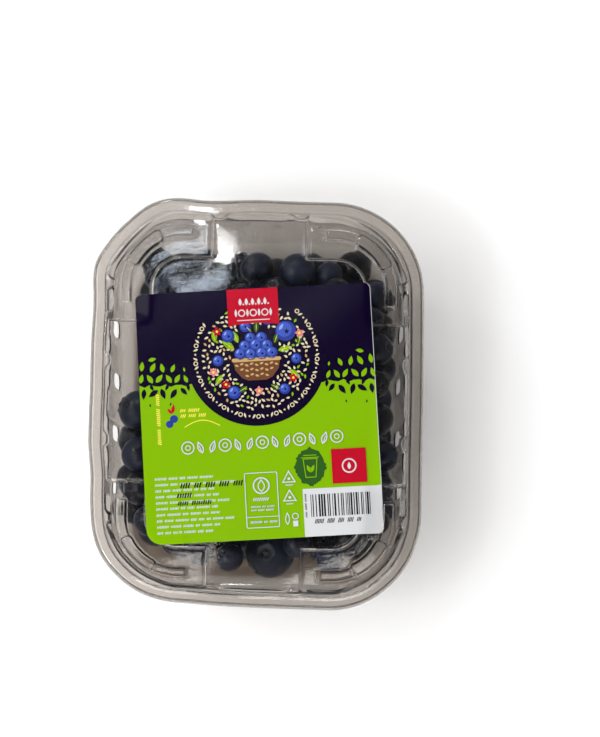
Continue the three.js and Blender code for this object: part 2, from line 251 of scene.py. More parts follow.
clearPlastic = {
    "lid": {"tint": (0.895, 0.88, 0.86), "shade": (0.86, 0.84, 0.81), "ior": 1.45,
            "ripple": 55.0, "grain": 0.07, "dull": 0.1, "bump": 0.25},
    # painted shade: the turned-down edge gets a darker tint, for how dark it looks as one sees along the sheet
    "lidEdgeShade": {"tint": (0.40, 0.375, 0.345), "shade": (0.8, 0.78, 0.75), "ior": 1.3,
                "ripple": 55.0, "grain": 0.0, "dull": 0.1, "bump": 0.25},
    "tray": {"tint": (0.60, 0.56, 0.525), "shade": (0.65, 0.61, 0.57), "ior": 1.27,
             "ripple": 60.0, "grain": 0.0, "dull": 0.05, "bump": 0.35,
             # painted shade: how much of the tint is left in the deep parts, which lie in the berries' shade, and the
             # heights in metres between which it grows
             "deepShade": {"left": 0.83, "from": 0.030, "to": 0.039}},
}
sheetMarks = makeSheetMarks()


# Painted shade: the tray's tint grows darker towards its floor.
def paintedShadeByHeight(tree, shader, tint, deepShade):
    place = addNode(tree, "TexCoord")
    parts = addNode(tree, "SeparateXYZ")
    rise = addNode(tree, "MapRange", {"From Min": deepShade["from"], "From Max": deepShade["to"], "To Min": deepShade["left"]})
    scale = addNode(tree, "VectorMath", {0: tint}, operation="SCALE")
    linkAll(
        tree,
        (place, "Object", parts, "Vector"), (parts, "Z", rise, "Value"), (rise, "Result", scale, "Scale"),
        (scale, "Vector", shader, "Base Color"),
    )


def makeClearPlastic(piece):
    look = clearPlastic[piece]
    material, tree, shader, output = newMaterial(piece + "Plastic")
    shader.inputs["Transmission Weight"].default_value = 1
    shader.inputs["IOR"].default_value = look["ior"]
    shader.inputs["Base Color"].default_value = (*look["tint"], 1)
    if "deepShade" in look:
        paintedShadeByHeight(tree, shader, look["tint"], look["deepShade"])
    marks = useGroup(
        tree, sheetMarks, {"Ripple Scale": look["ripple"], "Grain": look["grain"], "Most Roughness": look["dull"]})
    bumpFrom(tree, marks.outputs["Height"], shader, look["bump"], 0.0004)
    # lamps shine through the sheet, dimmed by its shade
    through = addNode(tree, "BsdfTransparent", {"Color": (*look["shade"], 1)})
    path = addNode(tree, "LightPath")
    mix = addNode(tree, "MixShader")
    linkAll(
        tree,
        (marks, "Roughness", shader, "Roughness"), (path, "Is Shadow Ray", mix, "Fac"),
        (shader, "BSDF", mix, 1), (through, "BSDF", mix, 2), (mix, "Shader", output, "Surface"),
    )
    return material


lid = {
    "ridge": 5.1,   # from the outer edge to the step down
    "cornerRidge": 0.9,   # the step lies this much further in at the corners
    "neck": {"depth": 1.3, "half": 3.2, "ramp": 2.0, "long": (14.0, 42.0), "short": (14.5,)},
    "wallRun": 1.0,
    "pocketRun": 1.2,   # the deeper pocket's wall leans over this much more
    "panelDrop": 1.2,
    "pocketDrop": 3.4,
    "slope": 1.1,
    "panelEdge": 20.5,
    "panelMiddle": 26.0,   # from here inwards the panel is plain
    "armLong": 28.0,
    "armShort": 16.3,
    "band": {"middle": 11.95, "half": 2.5, "rise": 1.7, "round": 1.2, "long": 34.2, "short": 22.8},
    "lug": {"middle": 12.0, "half": 3.3, "rise": 3.6, "round": 2.8, "halfLong": 8.8},
    "edgeRings": 5,   # rings of the turned-down edge, whose darker tint is painted shade for how dark it looks as one sees along the sheet
    # the turned-down edge: inset and height from the rim
    "lip": ((0.24, -3.2), (0.25, -2.3), (0.32, -1.5), (0.5, -0.85), (0.82, -0.4), (1.3, -0.12), (2.0, 0)),
    # where rings of points run: insets of the border, shares of the step's run, insets further in,
    # and shares of the way to the middle
    "rings": {
        "border": (3.0, 4.1),
        "step": (-0.15, 0.02, 0.15, 0.3, 0.5, 0.7, 0.85, 0.98),
        "pocket": (8.95, 9.2, 9.45, 9.75, 10.05, 10.4, 10.8, 11.3, 11.9, 12.5, 13.0, 13.35, 13.7, 14.0, 14.3, 14.6,
                   14.95, 15.3, 15.8, 17.0, 18.4, 19.7, 20.4, 20.65, 20.9, 21.15, 21.4, 21.65, 22.2, 23.4, 26.0),
        "panel": (0.82, 0.64, 0.46, 0.28, 0.12),
    },
    "cornerRamp": 14,
    "bandRun": (0.1, 2.2),   # closer stops along the rim from this far before a band's end to this far past it
    "lugRun": 4.4,
}
cornerMiddle = straightY + cornerArc / 2
bandEnd = quarterLength - lid["band"]["short"]
armEnd = quarterLength - lid["armShort"]


def ridgeInset(q):
    neck = lid["neck"]
    places = [*neck["long"], *[quarterLength - x for x in neck["short"]]]
    jog = sum(plateau(q, p - neck["half"], p + neck["half"], neck["ramp"]) for p in places)
    atCorner = plateau(q, straightY, straightY + cornerArc, lid["cornerRamp"])
    return lid["ridge"] + neck["depth"] * jog + lid["cornerRidge"] * atCorner


def inPocket(q):
    return plateau(q, lid["armLong"], armEnd, lid["slope"])


def wallRun(q):
    return lid["wallRun"] + lid["pocketRun"] * inPocket(q)


def raisedPatch(fromEnd, across, half, corner, slope):   # 1 on a patch with rounded ends
    dx, dy = corner - fromEnd, np.abs(across) - (half - corner)
    far = np.hypot(np.maximum(dx, 0), np.maximum(dy, 0)) + np.minimum(np.maximum(dx, dy), 0) - corner
    return 1 - ease(far, -slope, 0)


def lidHeight(q, inset):
    band, lug, slope = lid["band"], lid["lug"], lid["slope"]
    fromEnd = np.minimum(q - band["long"], bandEnd - q)
    onBand = raisedPatch(fromEnd, inset - band["middle"], band["half"], band["round"], slope)
    along = np.abs(q - cornerMiddle) * (pack["corner"] - lug["middle"]) / pack["corner"]
    onLug = raisedPatch(lug["halfLong"] - along, inset - lug["middle"], lug["half"], lug["round"], slope * 1.2)
    onPanel = np.maximum(1 - inPocket(q), ease(inset, lid["panelEdge"], lid["panelEdge"] + slope))
    pocket = np.maximum(band["rise"] * onBand, lug["rise"] * onLug) - lid["pocketDrop"]
    ridge = ridgeInset(q)
    step = ease(inset, ridge, ridge + wallRun(q))
    return pack["lidRim"] + step * (pocket - onPanel * (lid["panelDrop"] + pocket))


def makeLid():
    slope, lug, rows = lid["slope"], lid["lug"], lid["rings"]
    before, past = lid["bandRun"]
    lugTurn = lug["halfLong"] * pack["corner"] / (pack["corner"] - lug["middle"])
    lugStart, lugEnd, bandStart = cornerMiddle - lugTurn, cornerMiddle + lugTurn, lid["band"]["long"]
    rim = rimStops([
        (lid["armLong"], lid["armLong"] + slope), (bandStart - before, bandStart + past),
        (lugStart, lugStart + lid["lugRun"]), (lugEnd - lid["lugRun"], lugEnd),
        (bandEnd - past, bandEnd + before), (armEnd - slope, armEnd),
    ])
    q = rim["q"]
    same = np.ones_like(q)
    rings = [ringPoints(rim, inset * same, (pack["lidRim"] + z) * same) for inset, z in lid["lip"]]
    ridge, run = ridgeInset(q), wallRun(q)
    insets = [inset * same for inset in rows["border"]]
    insets += [ridge + run * share for share in rows["step"]]
    insets += [inset * same for inset in rows["pocket"]]
    rings += [ringPoints(rim, inset, lidHeight(q, inset)) for inset in insets]
    panelTop = pack["lidRim"] - lid["panelDrop"]
    rings += [np.column_stack([panelRing(rim) * share, panelTop * same]) for share in rows["panel"]]
    points, faces = sheetOfRings(rings, (0, 0, panelTop))
    points[:, 2] += sheetWave(points[:, 0], points[:, 1])
    # the turned-down edge's faces take the second, darker skin: painted shade
    skins = [int(k < lid["edgeRings"] * len(q)) for k in range(len(faces))]
    return solidSheet("lidShell", points, faces, skins=skins)


def panelRing(rim):
    return rim["base"] + rim["normal"] * (pack["corner"] - lid["panelMiddle"])


tray = {
    # inset, height and corner rounding, from the edge of the rim down to the floor
    "profile": (
        (1.0, 39.65, 0.0), (1.05, 40.65, 0.6), (4.1, 40.65, 1.5), (5.1, 36.0, 1.0), (6.6, 35.5, 0.7),
        (6.8, 33.75, 0.8), (10.2, 5.5, 3.0), (12.4, 1.7, 1.6), (14.6, 0.25, 1.2), (19.0, 0.25, 0.8),
        (20.1, 1.35, 0.8), (24.0, 1.35, 0.0),
    ),
    "flute": {"depth": 1.1, "half": 6.5, "slope": 2.2, "long": (-28, 0, 28), "short": (-14.5, 14.5)},
    "fluteHeights": ((1.7, 0.0), (5.5, 0.7), (33.75, 1.0), (35.4, 0.0)),
    "vent": {"wide": 5.4, "tall": 13.5, "height": 19.0, "inset": 9, "along": (-28.1, -9.4, 9.4, 28.1)},
    "floorSlot": {"wide": 3.0, "long": 13.0, "x": (-15, 15), "y": (-26, 0, 26)},
    "cutReach": 8,   # how far a cutter reaches to either side
    "denser": ((20, 30), (5, 8)),   # stretches of the rim with closer stops
    "ringSpacing": 1.0,
}


def roundedLine(corners, spacing):
    points = [np.array(corners[0][:2], float)]
    length = np.linalg.norm
    for before, here, after in zip(corners, corners[1:], corners[2:]):
        a, b, c = (np.array(p[:2], float) for p in (before, here, after))
        reach = min(here[2], length(a - b) / 2, length(c - b) / 2)
        start = b + (a - b) / length(a - b) * reach
        end = b + (c - b) / length(c - b) * reach
        points += [(1 - t) ** 2 * start + 2 * t * (1 - t) * b + t * t * end for t in np.linspace(0, 1, 5)]
    points.append(np.array(corners[-1][:2], float))
    dense = [points[0]]
    for a, b in zip(points, points[1:]):
        steps = max(1, ceil(length(b - a) / spacing))
        dense += [a + (b - a) * k / steps for k in range(1, steps + 1) if length(b - a) > 1e-6]
    return dense


def fluteDepth(rim):
    flute = tray["flute"]

    def edges(along, places):
        marks = [plateau(along, p - flute["half"], p + flute["half"], flute["slope"]) for p in places]
        return np.max(marks, axis=0)

    along = np.where(rim["q"] <= straightY, edges(rim["base"][:, 1], flute["long"]), 0)
    across = np.where(rim["q"] >= straightY + cornerArc, edges(rim["base"][:, 0], flute["short"]), 0)
    return flute["depth"] * (along + across)


def slotPrism(wide, tall, centre, turn):   # points and faces of a slot with round ends
    ends = np.linspace(0, pi, 13)
    reach = (tall - wide) / 2
    outline = [(wide / 2 * cos(a), reach + wide / 2 * sin(a)) for a in ends]
    outline += [(-x, -y) for x, y in outline]
    count = len(outline)
    depths = (-tray["cutReach"], tray["cutReach"])
    points = [turn @ Vector((x, y, depth)) + Vector(centre) for depth in depths for x, y in outline]
    faces = [[i, (i + 1) % count, (i + 1) % count + count, i + count] for i in range(count)]
    faces += [list(range(count))[::-1], list(range(count, 2 * count))]
    return points, faces


def makeTrayCutters():
    vent, slot = tray["vent"], tray["floorSlot"]
    throughWall = Matrix(((0, 0, 1), (1, 0, 0), (0, 1, 0)))
    wallX = pack["width"] / 2 - vent["inset"]
    cuts = [(vent["wide"], vent["tall"], (side * wallX, y, vent["height"]), throughWall)
            for side in (-1, 1) for y in vent["along"]]
    cuts += [(slot["wide"], slot["long"], (x, y, 0), Matrix.Identity(3)) for x in slot["x"] for y in slot["y"]]
    points, faces = [], []
    for cut in cuts:
        newPoints, newFaces = slotPrism(*cut)
        faces += [[i + len(points) for i in face] for face in newFaces]
        points += newPoints
    return newObject("trayCutters", newMesh("trayCutters", [tuple(p) for p in points], faces))


def makeTray():
    rim = rimStops(tray["denser"])
    same = np.ones_like(rim["q"])
    heights, shares = zip(*tray["fluteHeights"])
    depth = fluteDepth(rim)
    rings = [ringPoints(rim, inset - depth * np.interp(z, heights, shares, left=0, right=0), z * same)
             for inset, z in roundedLine(tray["profile"], tray["ringSpacing"])]
    floor = tray["profile"][-1][1]
    rings += [np.column_stack([panelRing(rim) * share, floor * same]) for share in (1, 0.75, 0.5, 0.25)]
    points, faces = sheetOfRings(rings, (0, 0, floor))
    cutters = makeTrayCutters()
    shell = solidSheet("trayShell", points, faces, cutters)
    bpy.data.objects.remove(cutters)
    return shell


heap = {
    "seed": 20,
    "hidden": 110,   # berries besides those of the list below
    "least": 12.0,   # their diameters
    "most": 15.4,
    "drawnInside": (14.6, 19),   # they start at least this far from the long and the short edges
    "top": 36.0,   # highest point
    "fall": 16.0,   # how much lower it is at the far end and by the far left wall
    "farSlope": (47.5, 67.5),
    "leftSlope": (-35, -47),
    "leftFrom": (4.5, 12.5),
    "farEdge": 58.6,   # no berry reaches past these three
    "leftEdge": -43.0,
    "nearEdge": -60.5,
    "hiddenNear": -53,   # the same for the berries off the list
    # the heap's slanting near corners: side, way across, way along, reach
    "nearCuts": ((-1, 0.5, 0.866, 61.5), (1, 0.6, 0.8, 64.5)),
    "tuck": 6.5,   # how much lower the berries off the list stay where they would show
    "floor": 1.9,
    "wall": {"top": 6.8, "lean": 3.4 / 28.25, "topZ": 33.75, "clear": 0.55},
}
settling = {"rounds": 420, "sinking": 252, "sink": 0.06, "push": 0.42, "homing": 0.25}
# The berries that show round the label: across, along, diameter.
showing = (
    (-19.9, 52.8, 10.3), (-40.9, 42.7, 10.3), (-34.8, 44.4, 11.4), (-25.9, 41, 10.7), (-21.1, 42.6, 11),
    (-14, 49.5, 11.6), (-0.9, 50.1, 12.6), (12.8, 48.1, 13.3), (25.5, 47.5, 11.2), (33, 54.6, 13.5),
    (6.3, 41.3, 11.7), (27.6, 41.9, 11), (41.1, 40.6, 11), (40.2, 30.4, 10.3), (42.1, 22.4, 12.2),
    (41.2, 9.3, 12.3), (42.4, -3.7, 12.8), (44.9, -16.8, 11.6), (43.5, -28, 11), (42.6, -40.4, 11),
    (32.7, -47.4, 11), (28, -53.3, 10.2), (24.6, -48.3, 12.1), (14.8, -48.9, 10.7), (6, -52.1, 18.1),
    (-8.7, -53.9, 10.4), (-18.4, -52.2, 10.5), (-29, -49.4, 9.9), (-42, -2, 14.6), (-41.7, -18.4, 12.5),
    (-40.9, -30.1, 12.2), (-37.3, -40.8, 11.4),
)
label = {
    "width": 83.2,
    "length": 89.0,
    "corners": (2.0, 2.0, 5.5, 2.0),   # the near left one is bent down
    "x": 1.0,
    "y": -3.9,
    "turn": 4.3,
    "thickness": 0.12,
    "lift": 0.34,   # paper above the lid's middle panel
    "layer": 0.03,   # each print layer stands this far above the last
    "grid": 1.4,   # spacing of the cuts that let the sheet and its print bend together
    "droop": 2.4,   # how far the corners sink over the lid's pockets
    "free": (-1.5, 3),   # from the ends of the panel's arms, where the paper starts to lie free
    # how the drop starts past the middle panel's edge: from there, softly over, and how soon it is full
    "fallFrom": 0.8,
    "fallSoft": 3.0,
    "fallReach": 4.5,
    # folds that run out to the near left corner, from this place, and how many turn about it
    "crease": {"x": -27, "y": -36, "height": 0.24, "folds": 17, "grows": (1, 6)},
    # a narrow fold by that corner, across x = this, less so much for each millimetre beyond y = this
    "pinch": {"x": -24.6, "y": -48, "lean": 0.12, "height": 0.32, "width": 0.9, "reach": (43.5, 49)},
    # the right edge stands up a little, about y = this
    "curl": {"height": 0.25, "x": (40.5, 44.5), "y": -4, "reach": (20, 34)},
}


def ramp(value, limits):
    return np.clip((value - limits[0]) / (limits[1] - limits[0]), 0, 1)


def heapTop(x, y):
    low = np.maximum(ramp(y, heap["farSlope"]), ramp(x, heap["leftSlope"]) * ramp(y, heap["leftFrom"]))
    return heap["top"] - heap["fall"] * low


def underLabel(x, y):
    turn = radians(label["turn"])
    dx, dy = x - label["x"], y - label["y"]
    across = dx * cos(turn) + dy * sin(turn)
    along = dy * cos(turn) - dx * sin(turn)
    halfWide, halfLong = label["width"] / 2 - heap["tuck"], label["length"] / 2 - heap["tuck"]
    return (np.abs(across) < halfWide) & (np.abs(along) < halfLong)


def insideRim(x, y):   # how far inside the outline, and the way inwards
    dx, dy = np.abs(x) - straightX, np.abs(y) - straightY
    sx, sy = np.where(x < 0, -1, 1), np.where(y < 0, -1, 1)
    far = np.maximum(np.hypot(dx, dy), 1e-9)
    atCorner = (dx > 0) & (dy > 0)
    inset = pack["corner"] - np.where(atCorner, far, np.maximum(dx, dy))
    wayX = np.where(atCorner, -sx * dx / far, np.where(dx > dy, -sx, 0))
    wayY = np.where(atCorner, -sy * dy / far, np.where(dx > dy, 0, -sy))
    return inset, wayX, wayY


def settleBerries():   # sink a little, push apart and stay in the tray, round after round
    state = heap["seed"]

    def draw():
        nonlocal state
        state = (state * 16807) % 2147483647
        return state / 2147483647

    rows = [(x, y, float(heapTop(x, y)) - d / 2, d / 2) for x, y, d in showing]
    for _ in range(heap["hidden"]):
        r = (heap["least"] + (heap["most"] - heap["least"]) * draw()) / 2
        x = (draw() * 2 - 1) * (pack["width"] / 2 - heap["drawnInside"][0])
        y = (draw() * 2 - 1) * (pack["length"] / 2 - heap["drawnInside"][1])
        rows.append((x, y, r + (float(heapTop(x, y)) - 2 * r) * draw(), r))
    rows = np.array(rows)
    place, r = rows[:, :3].copy(), rows[:, 3]
    shown = np.arange(len(r)) < len(showing)
    home = np.array(showing)[:, :2]
    reach = r[:, None] + r[None, :]
    wall = heap["wall"]
    for turn in range(settling["rounds"]):
        away = place[:, None] - place[None, :]
        far = np.sqrt((away ** 2).sum(-1))
        np.fill_diagonal(far, 1e9)
        push = settling["push"] * np.maximum(reach - far, 0) / far
        place += (away * push[..., None]).sum(1)
        if turn < settling["sinking"]:
            place[:, 2] -= settling["sink"]
        place[shown, :2] += settling["homing"] * (home - place[shown, :2])
        x, y = place[:, 0], place[:, 1]
        top = heapTop(x, y) - np.where(shown | underLabel(x, y), 0, heap["tuck"])
        place[:, 2] = np.maximum(heap["floor"] + r, np.minimum(top - r, place[:, 2]))
        inset, wayX, wayY = insideRim(x, y)
        wallInset = wall["top"] + wall["lean"] * (wall["topZ"] - place[:, 2]) + wall["clear"]
        short = np.maximum(wallInset + r * hypot(1, wall["lean"]) - inset, 0)
        place[:, 0] += wayX * short
        place[:, 1] = np.minimum(place[:, 1] + wayY * short, heap["farEdge"] - r)
        left = np.maximum(place[:, 0], heap["leftEdge"] + r)
        place[:, 0] = np.where(place[:, 1] > heap["leftFrom"][0], left, place[:, 0])
        for side, across, along, far in heap["nearCuts"]:
            over = np.maximum(across * side * place[:, 0] - along * place[:, 1] + r - far, 0)
            place[:, 0] -= side * across * over
            place[:, 1] += along * over
        near = np.where(shown, heap["nearEdge"], heap["hiddenNear"])
        place[:, 1] = np.maximum(place[:, 1], near + r)
    return place, r


berry = {
    "sides": 30,
    "flat": (0.86, 0.95),   # height against width
    "craterDepth": 0.10,
    "lipHeight": 0.09,
    "lipTurn": 17.5,   # degrees from the crown's middle to its lip
    "lobes": 5,
    "unevenness": 0.025,
    "lobeReach": 3.5,   # degrees by which the lobes reach further out
    "lipWidth": 3.0,   # degrees
    "lipLeast": 0.25,   # height of the lip between the lobes
    "craterWall": (10, 16),   # degrees
    "stub": 0.45,   # depth left over the stub in the crater's middle
    "tip": {"depth": 0.03, "from": 168},   # the dimple opposite the crown
    "waves": 1.4,   # of the unevenness
    "kinds": 5,   # different shapes
    "skinShares": (0.45, 0.3, 0.25),   # of the first three skins
    # rings of points, in degrees from the crown's middle
    "rings": (2.6, 6, 10, 13, 15.5, 18, 21, 25, 31, 41, 53, 66, 80, 95, 110, 125, 141, 158, 170),
    "crownEnd": 13,   # degrees; inside it the crown's skin, then the lip's up to the next
    "lipEnd": 21,
    # crowns that show, by the berry's place in the list above: the way the crown faces
    "crowns": {24: (-0.18, -0.05, 1), 14: (0.75, 0.05, 0.6), 10: (-0.15, 0.5, 0.85), 8: (0.5, -0.6, 0.6),
               28: (-0.9, 0.3, -0.1), 6: (0.3, -0.8, 0.2), 7: (0.2, -0.3, -1), 9: (0.5, 0.6, -0.4),
               17: (0.7, 0.3, 0.2), 25: (-0.5, 0.2, 0.75), 30: (-0.6, -0.4, 0.5), 22: (0.2, -0.9, 0.3)},
}


def berryTemplate(rng):
    around = np.arange(berry["sides"]) / berry["sides"] * 2 * pi
    lobe = 0.5 + 0.5 * np.cos(berry["lobes"] * around)
    bumps = [(rng.normal(size=3), rng.uniform(0, 6.28)) for _ in range(4)]
    tip = berry["tip"]
    points = []
    for degrees in (0.0, *berry["rings"], 180.0):
        turn = radians(degrees) * np.ones_like(around)
        lip = np.exp(-(((degrees - berry["lipTurn"] - berry["lobeReach"] * lobe) / berry["lipWidth"]) ** 2))
        lip = lip * (berry["lipLeast"] + (1 - berry["lipLeast"]) * lobe)
        crater = (1 - ease(degrees, *berry["craterWall"])) * (berry["stub"] if degrees < 4 else 1)
        radius = 1 + berry["lipHeight"] * lip - berry["craterDepth"] * crater
        radius = radius - tip["depth"] * ease(degrees, tip["from"], 180)
        way = np.stack([np.sin(turn) * np.cos(around), np.sin(turn) * np.sin(around), np.cos(turn)], 1)
        for axis, phase in bumps:
            radius = radius + berry["unevenness"] / 2 * np.sin(way @ axis * berry["waves"] + phase)
        points.append(way * radius[:, None])
    allPoints = np.concatenate([points[0][:1], *points[1:-1], points[-1][:1]])
    return allPoints / np.abs(allPoints).max(), *berryFaces()


def berryFaces():   # and the skin of each, or None for the berry's own
    count, rings = berry["sides"], len(berry["rings"])
    crownSkin, lipSkin = 3, 4
    after = [(i + 1) % count for i in range(count)]
    faces = [[1 + i, 1 + after[i], 0] for i in range(count)]
    skins = [lipSkin] * count
    for r in range(rings - 1):
        a, b, turn = 1 + r * count, 1 + (r + 1) * count, berry["rings"][r + 1]
        faces += [[a + i, b + i, b + after[i], a + after[i]] for i in range(count)]
        skins += [crownSkin if turn <= berry["crownEnd"] else lipSkin if turn <= berry["lipEnd"] else None] * count
    end = 1 + rings * count
    faces += [[end, end - count + after[i], end - count + i] for i in range(count)]
    return faces, skins + [None] * count


def turnTo(way, spin):
    return Vector(way).normalized().to_track_quat("Z", "Y").to_matrix() @ Matrix.Rotation(spin, 3, "Z")


def makeBerries():
    rng = np.random.default_rng(7)
    place, r = settleBerries()
    templates = [berryTemplate(rng) for _ in range(berry["kinds"])]
    points, faces, skins = [], [], []
    total = 0
    for i, (spot, radius) in enumerate(zip(place, r)):
        base, baseFaces, crown = templates[i % len(templates)]
        flat = rng.uniform(*berry["flat"])
        way = berry["crowns"].get(i, rng.normal(size=3))
        turn = np.array(turnTo(way, rng.uniform(0, 6.28)))
        shaped = (base * np.array([1, 1, flat])) @ turn.T
        points.append(shaped * radius + spot)
        faces += [[v + total for v in face] for face in baseFaces]
        skin = int(rng.choice(3, p=berry["skinShares"]))
        skins += [skin if part is None else part for part in crown]
        total += len(base)
    mesh = newMesh("berries", np.concatenate(points), faces)
    mesh.polygons.foreach_set("material_index", skins)
    mesh.shade_smooth()
    return newObject("berryHeap", mesh), place, r


core = {
    "sides": 10,
    "rings": 6,
    "size": 0.8,   # against the berries
    "squeeze": (0.93, 0.93, 0.85),   # towards its middle
    "middle": (0, -4, 16),
    "voxel": 1.6,
}


def makeHeapCore(place, r):   # the dark middle, behind the berries that show
    sides, rings = core["sides"], core["rings"]
    middle = np.array(core["middle"])
    ball = []
    for k in range(rings + 1):
        turn = pi * k / rings
        for s in range(sides):
            a = 2 * pi * s / sides
            ball.append((sin(turn) * cos(a), sin(turn) * sin(a), cos(turn)))
    points, faces = [], []
    for spot, radius in zip(place, r):
        start = len(points)
        centre = (spot - middle) * np.array(core["squeeze"]) + middle
        points += (centre + radius * core["size"] * np.array(ball)).tolist()
        for k in range(rings):
            for s in range(sides):
                a, b = start + k * sides + s, start + k * sides + (s + 1) % sides
                faces.append([a, a + sides, b + sides, b])
    obj = newObject("heapCore", newMesh("heapCore", points, faces))
    remesh = obj.modifiers.new("joined", "REMESH")
    remesh.mode = "VOXEL"
    remesh.voxel_size = core["voxel"] * metre
    return applied(obj, 180)


# Dusty bloom over dark skin, in patches and rubbed away here and there.
def makeBloomCover():
    group, source, result = newGroup(
        "bloomCover",
        {"Patch Scale": 90.0, "Cover": 0.5, "Skin": (0.01, 0.01, 0.02, 1), "Bloom": (0.06, 0.07, 0.12, 1)},
        ("Color", "Roughness", "Height"),
    )
    place = addNode(group, "TexCoord")
    patch = addNode(group, "TexNoise", {"Detail": 5.0, "Roughness": 0.62})
    speck = addNode(group, "TexNoise", {"Scale": 1500.0, "Detail": 2.0})
    blend = addNode(group, "Math", {1: 0.35}, operation="MULTIPLY_ADD")
    spread = addNode(group, "MapRange", {"From Min": 0.55, "From Max": 0.95})
    amount = addNode(group, "Math", operation="MULTIPLY", use_clamp=True)
    mix = addNode(group, "Mix", data_type="RGBA")
    rough = addNode(group, "MapRange", {"To Min": 0.27, "To Max": 0.6})
    linkAll(
        group,
        (place, "Object", patch, "Vector"), (place, "Object", speck, "Vector"),
        (source, "Patch Scale", patch, "Scale"), (speck, "Fac", blend, 0), (patch, "Fac", blend, 2),
        (blend, "Value", spread, "Value"), (spread, "Result", amount, 0), (source, "Cover", amount, 1),
        (amount, "Value", mix, "Factor"), (source, "Skin", mix, "A"), (source, "Bloom", mix, "B"),
        (amount, "Value", rough, "Value"), (mix, "Result", result, "Color"),
        (rough, "Result", result, "Roughness"), (speck, "Fac", result, "Height"),
    )
    return group


berrySkins = {
    "dustySkin": {"cover": 0.85, "skin": (0.003, 0.0045, 0.011), "bloom": (0.012, 0.021, 0.051), "patch": 95.0},
    "blueSkin": {"cover": 0.6, "skin": (0.0025, 0.0035, 0.009), "bloom": (0.008, 0.015, 0.039), "patch": 120.0},
    "rubbedSkin": {"cover": 0.3, "skin": (0.002, 0.0025, 0.005), "bloom": (0.007, 0.011, 0.028), "patch": 150.0},
    "crownSkin": {"cover": 0.6, "skin": (0.005, 0.005, 0.007), "bloom": (0.020, 0.020, 0.026), "patch": 300.0},
    "lipSkin": {"cover": 0.9, "skin": (0.009, 0.012, 0.020), "bloom": (0.036, 0.048, 0.076), "patch": 300.0},
}


def makeBerrySkins():
    cover = makeBloomCover()
    made = []
    for name, look in berrySkins.items():
        material, tree, shader, _ = newMaterial(name)
        bloom = useGroup(tree, cover, {"Patch Scale": look["patch"], "Cover": look["cover"],
                                       "Skin": (*look["skin"], 1), "Bloom": (*look["bloom"], 1)})
        linkAll(tree, (bloom, "Color", shader, "Base Color"), (bloom, "Roughness", shader, "Roughness"))
        shader.inputs["Specular IOR Level"].default_value = 0.22
        bumpFrom(tree, bloom.outputs["Height"], shader, 0.15, 0.0002)
        made.append(material)
    return made


inks = {
    "paperWhite": (0.58, 0.585, 0.60),
    "nightBlue": (0.0035, 0.0010, 0.0135),
    "leafGreen": (0.185, 0.385, 0.001),
    "tagRed": (0.42, 0.004, 0.018),
    "printWhite": (0.57, 0.575, 0.585),
    "darkGreen": (0.022, 0.085, 0.012),
    "cream": (0.62, 0.54, 0.36),
    "berryBlue": (0.020, 0.040, 0.25),
    "midBlue": (0.045, 0.085, 0.42),
    "paleBlue": (0.22, 0.33, 0.66),
    "brown": (0.13, 0.050, 0.022),
    "tan": (0.50, 0.31, 0.12),
    "rosePink": (0.62, 0.20, 0.19),
    "yellow": (0.78, 0.66, 0.08),
    "black": (0.010, 0.010, 0.011),
}
upwards = pi / 2
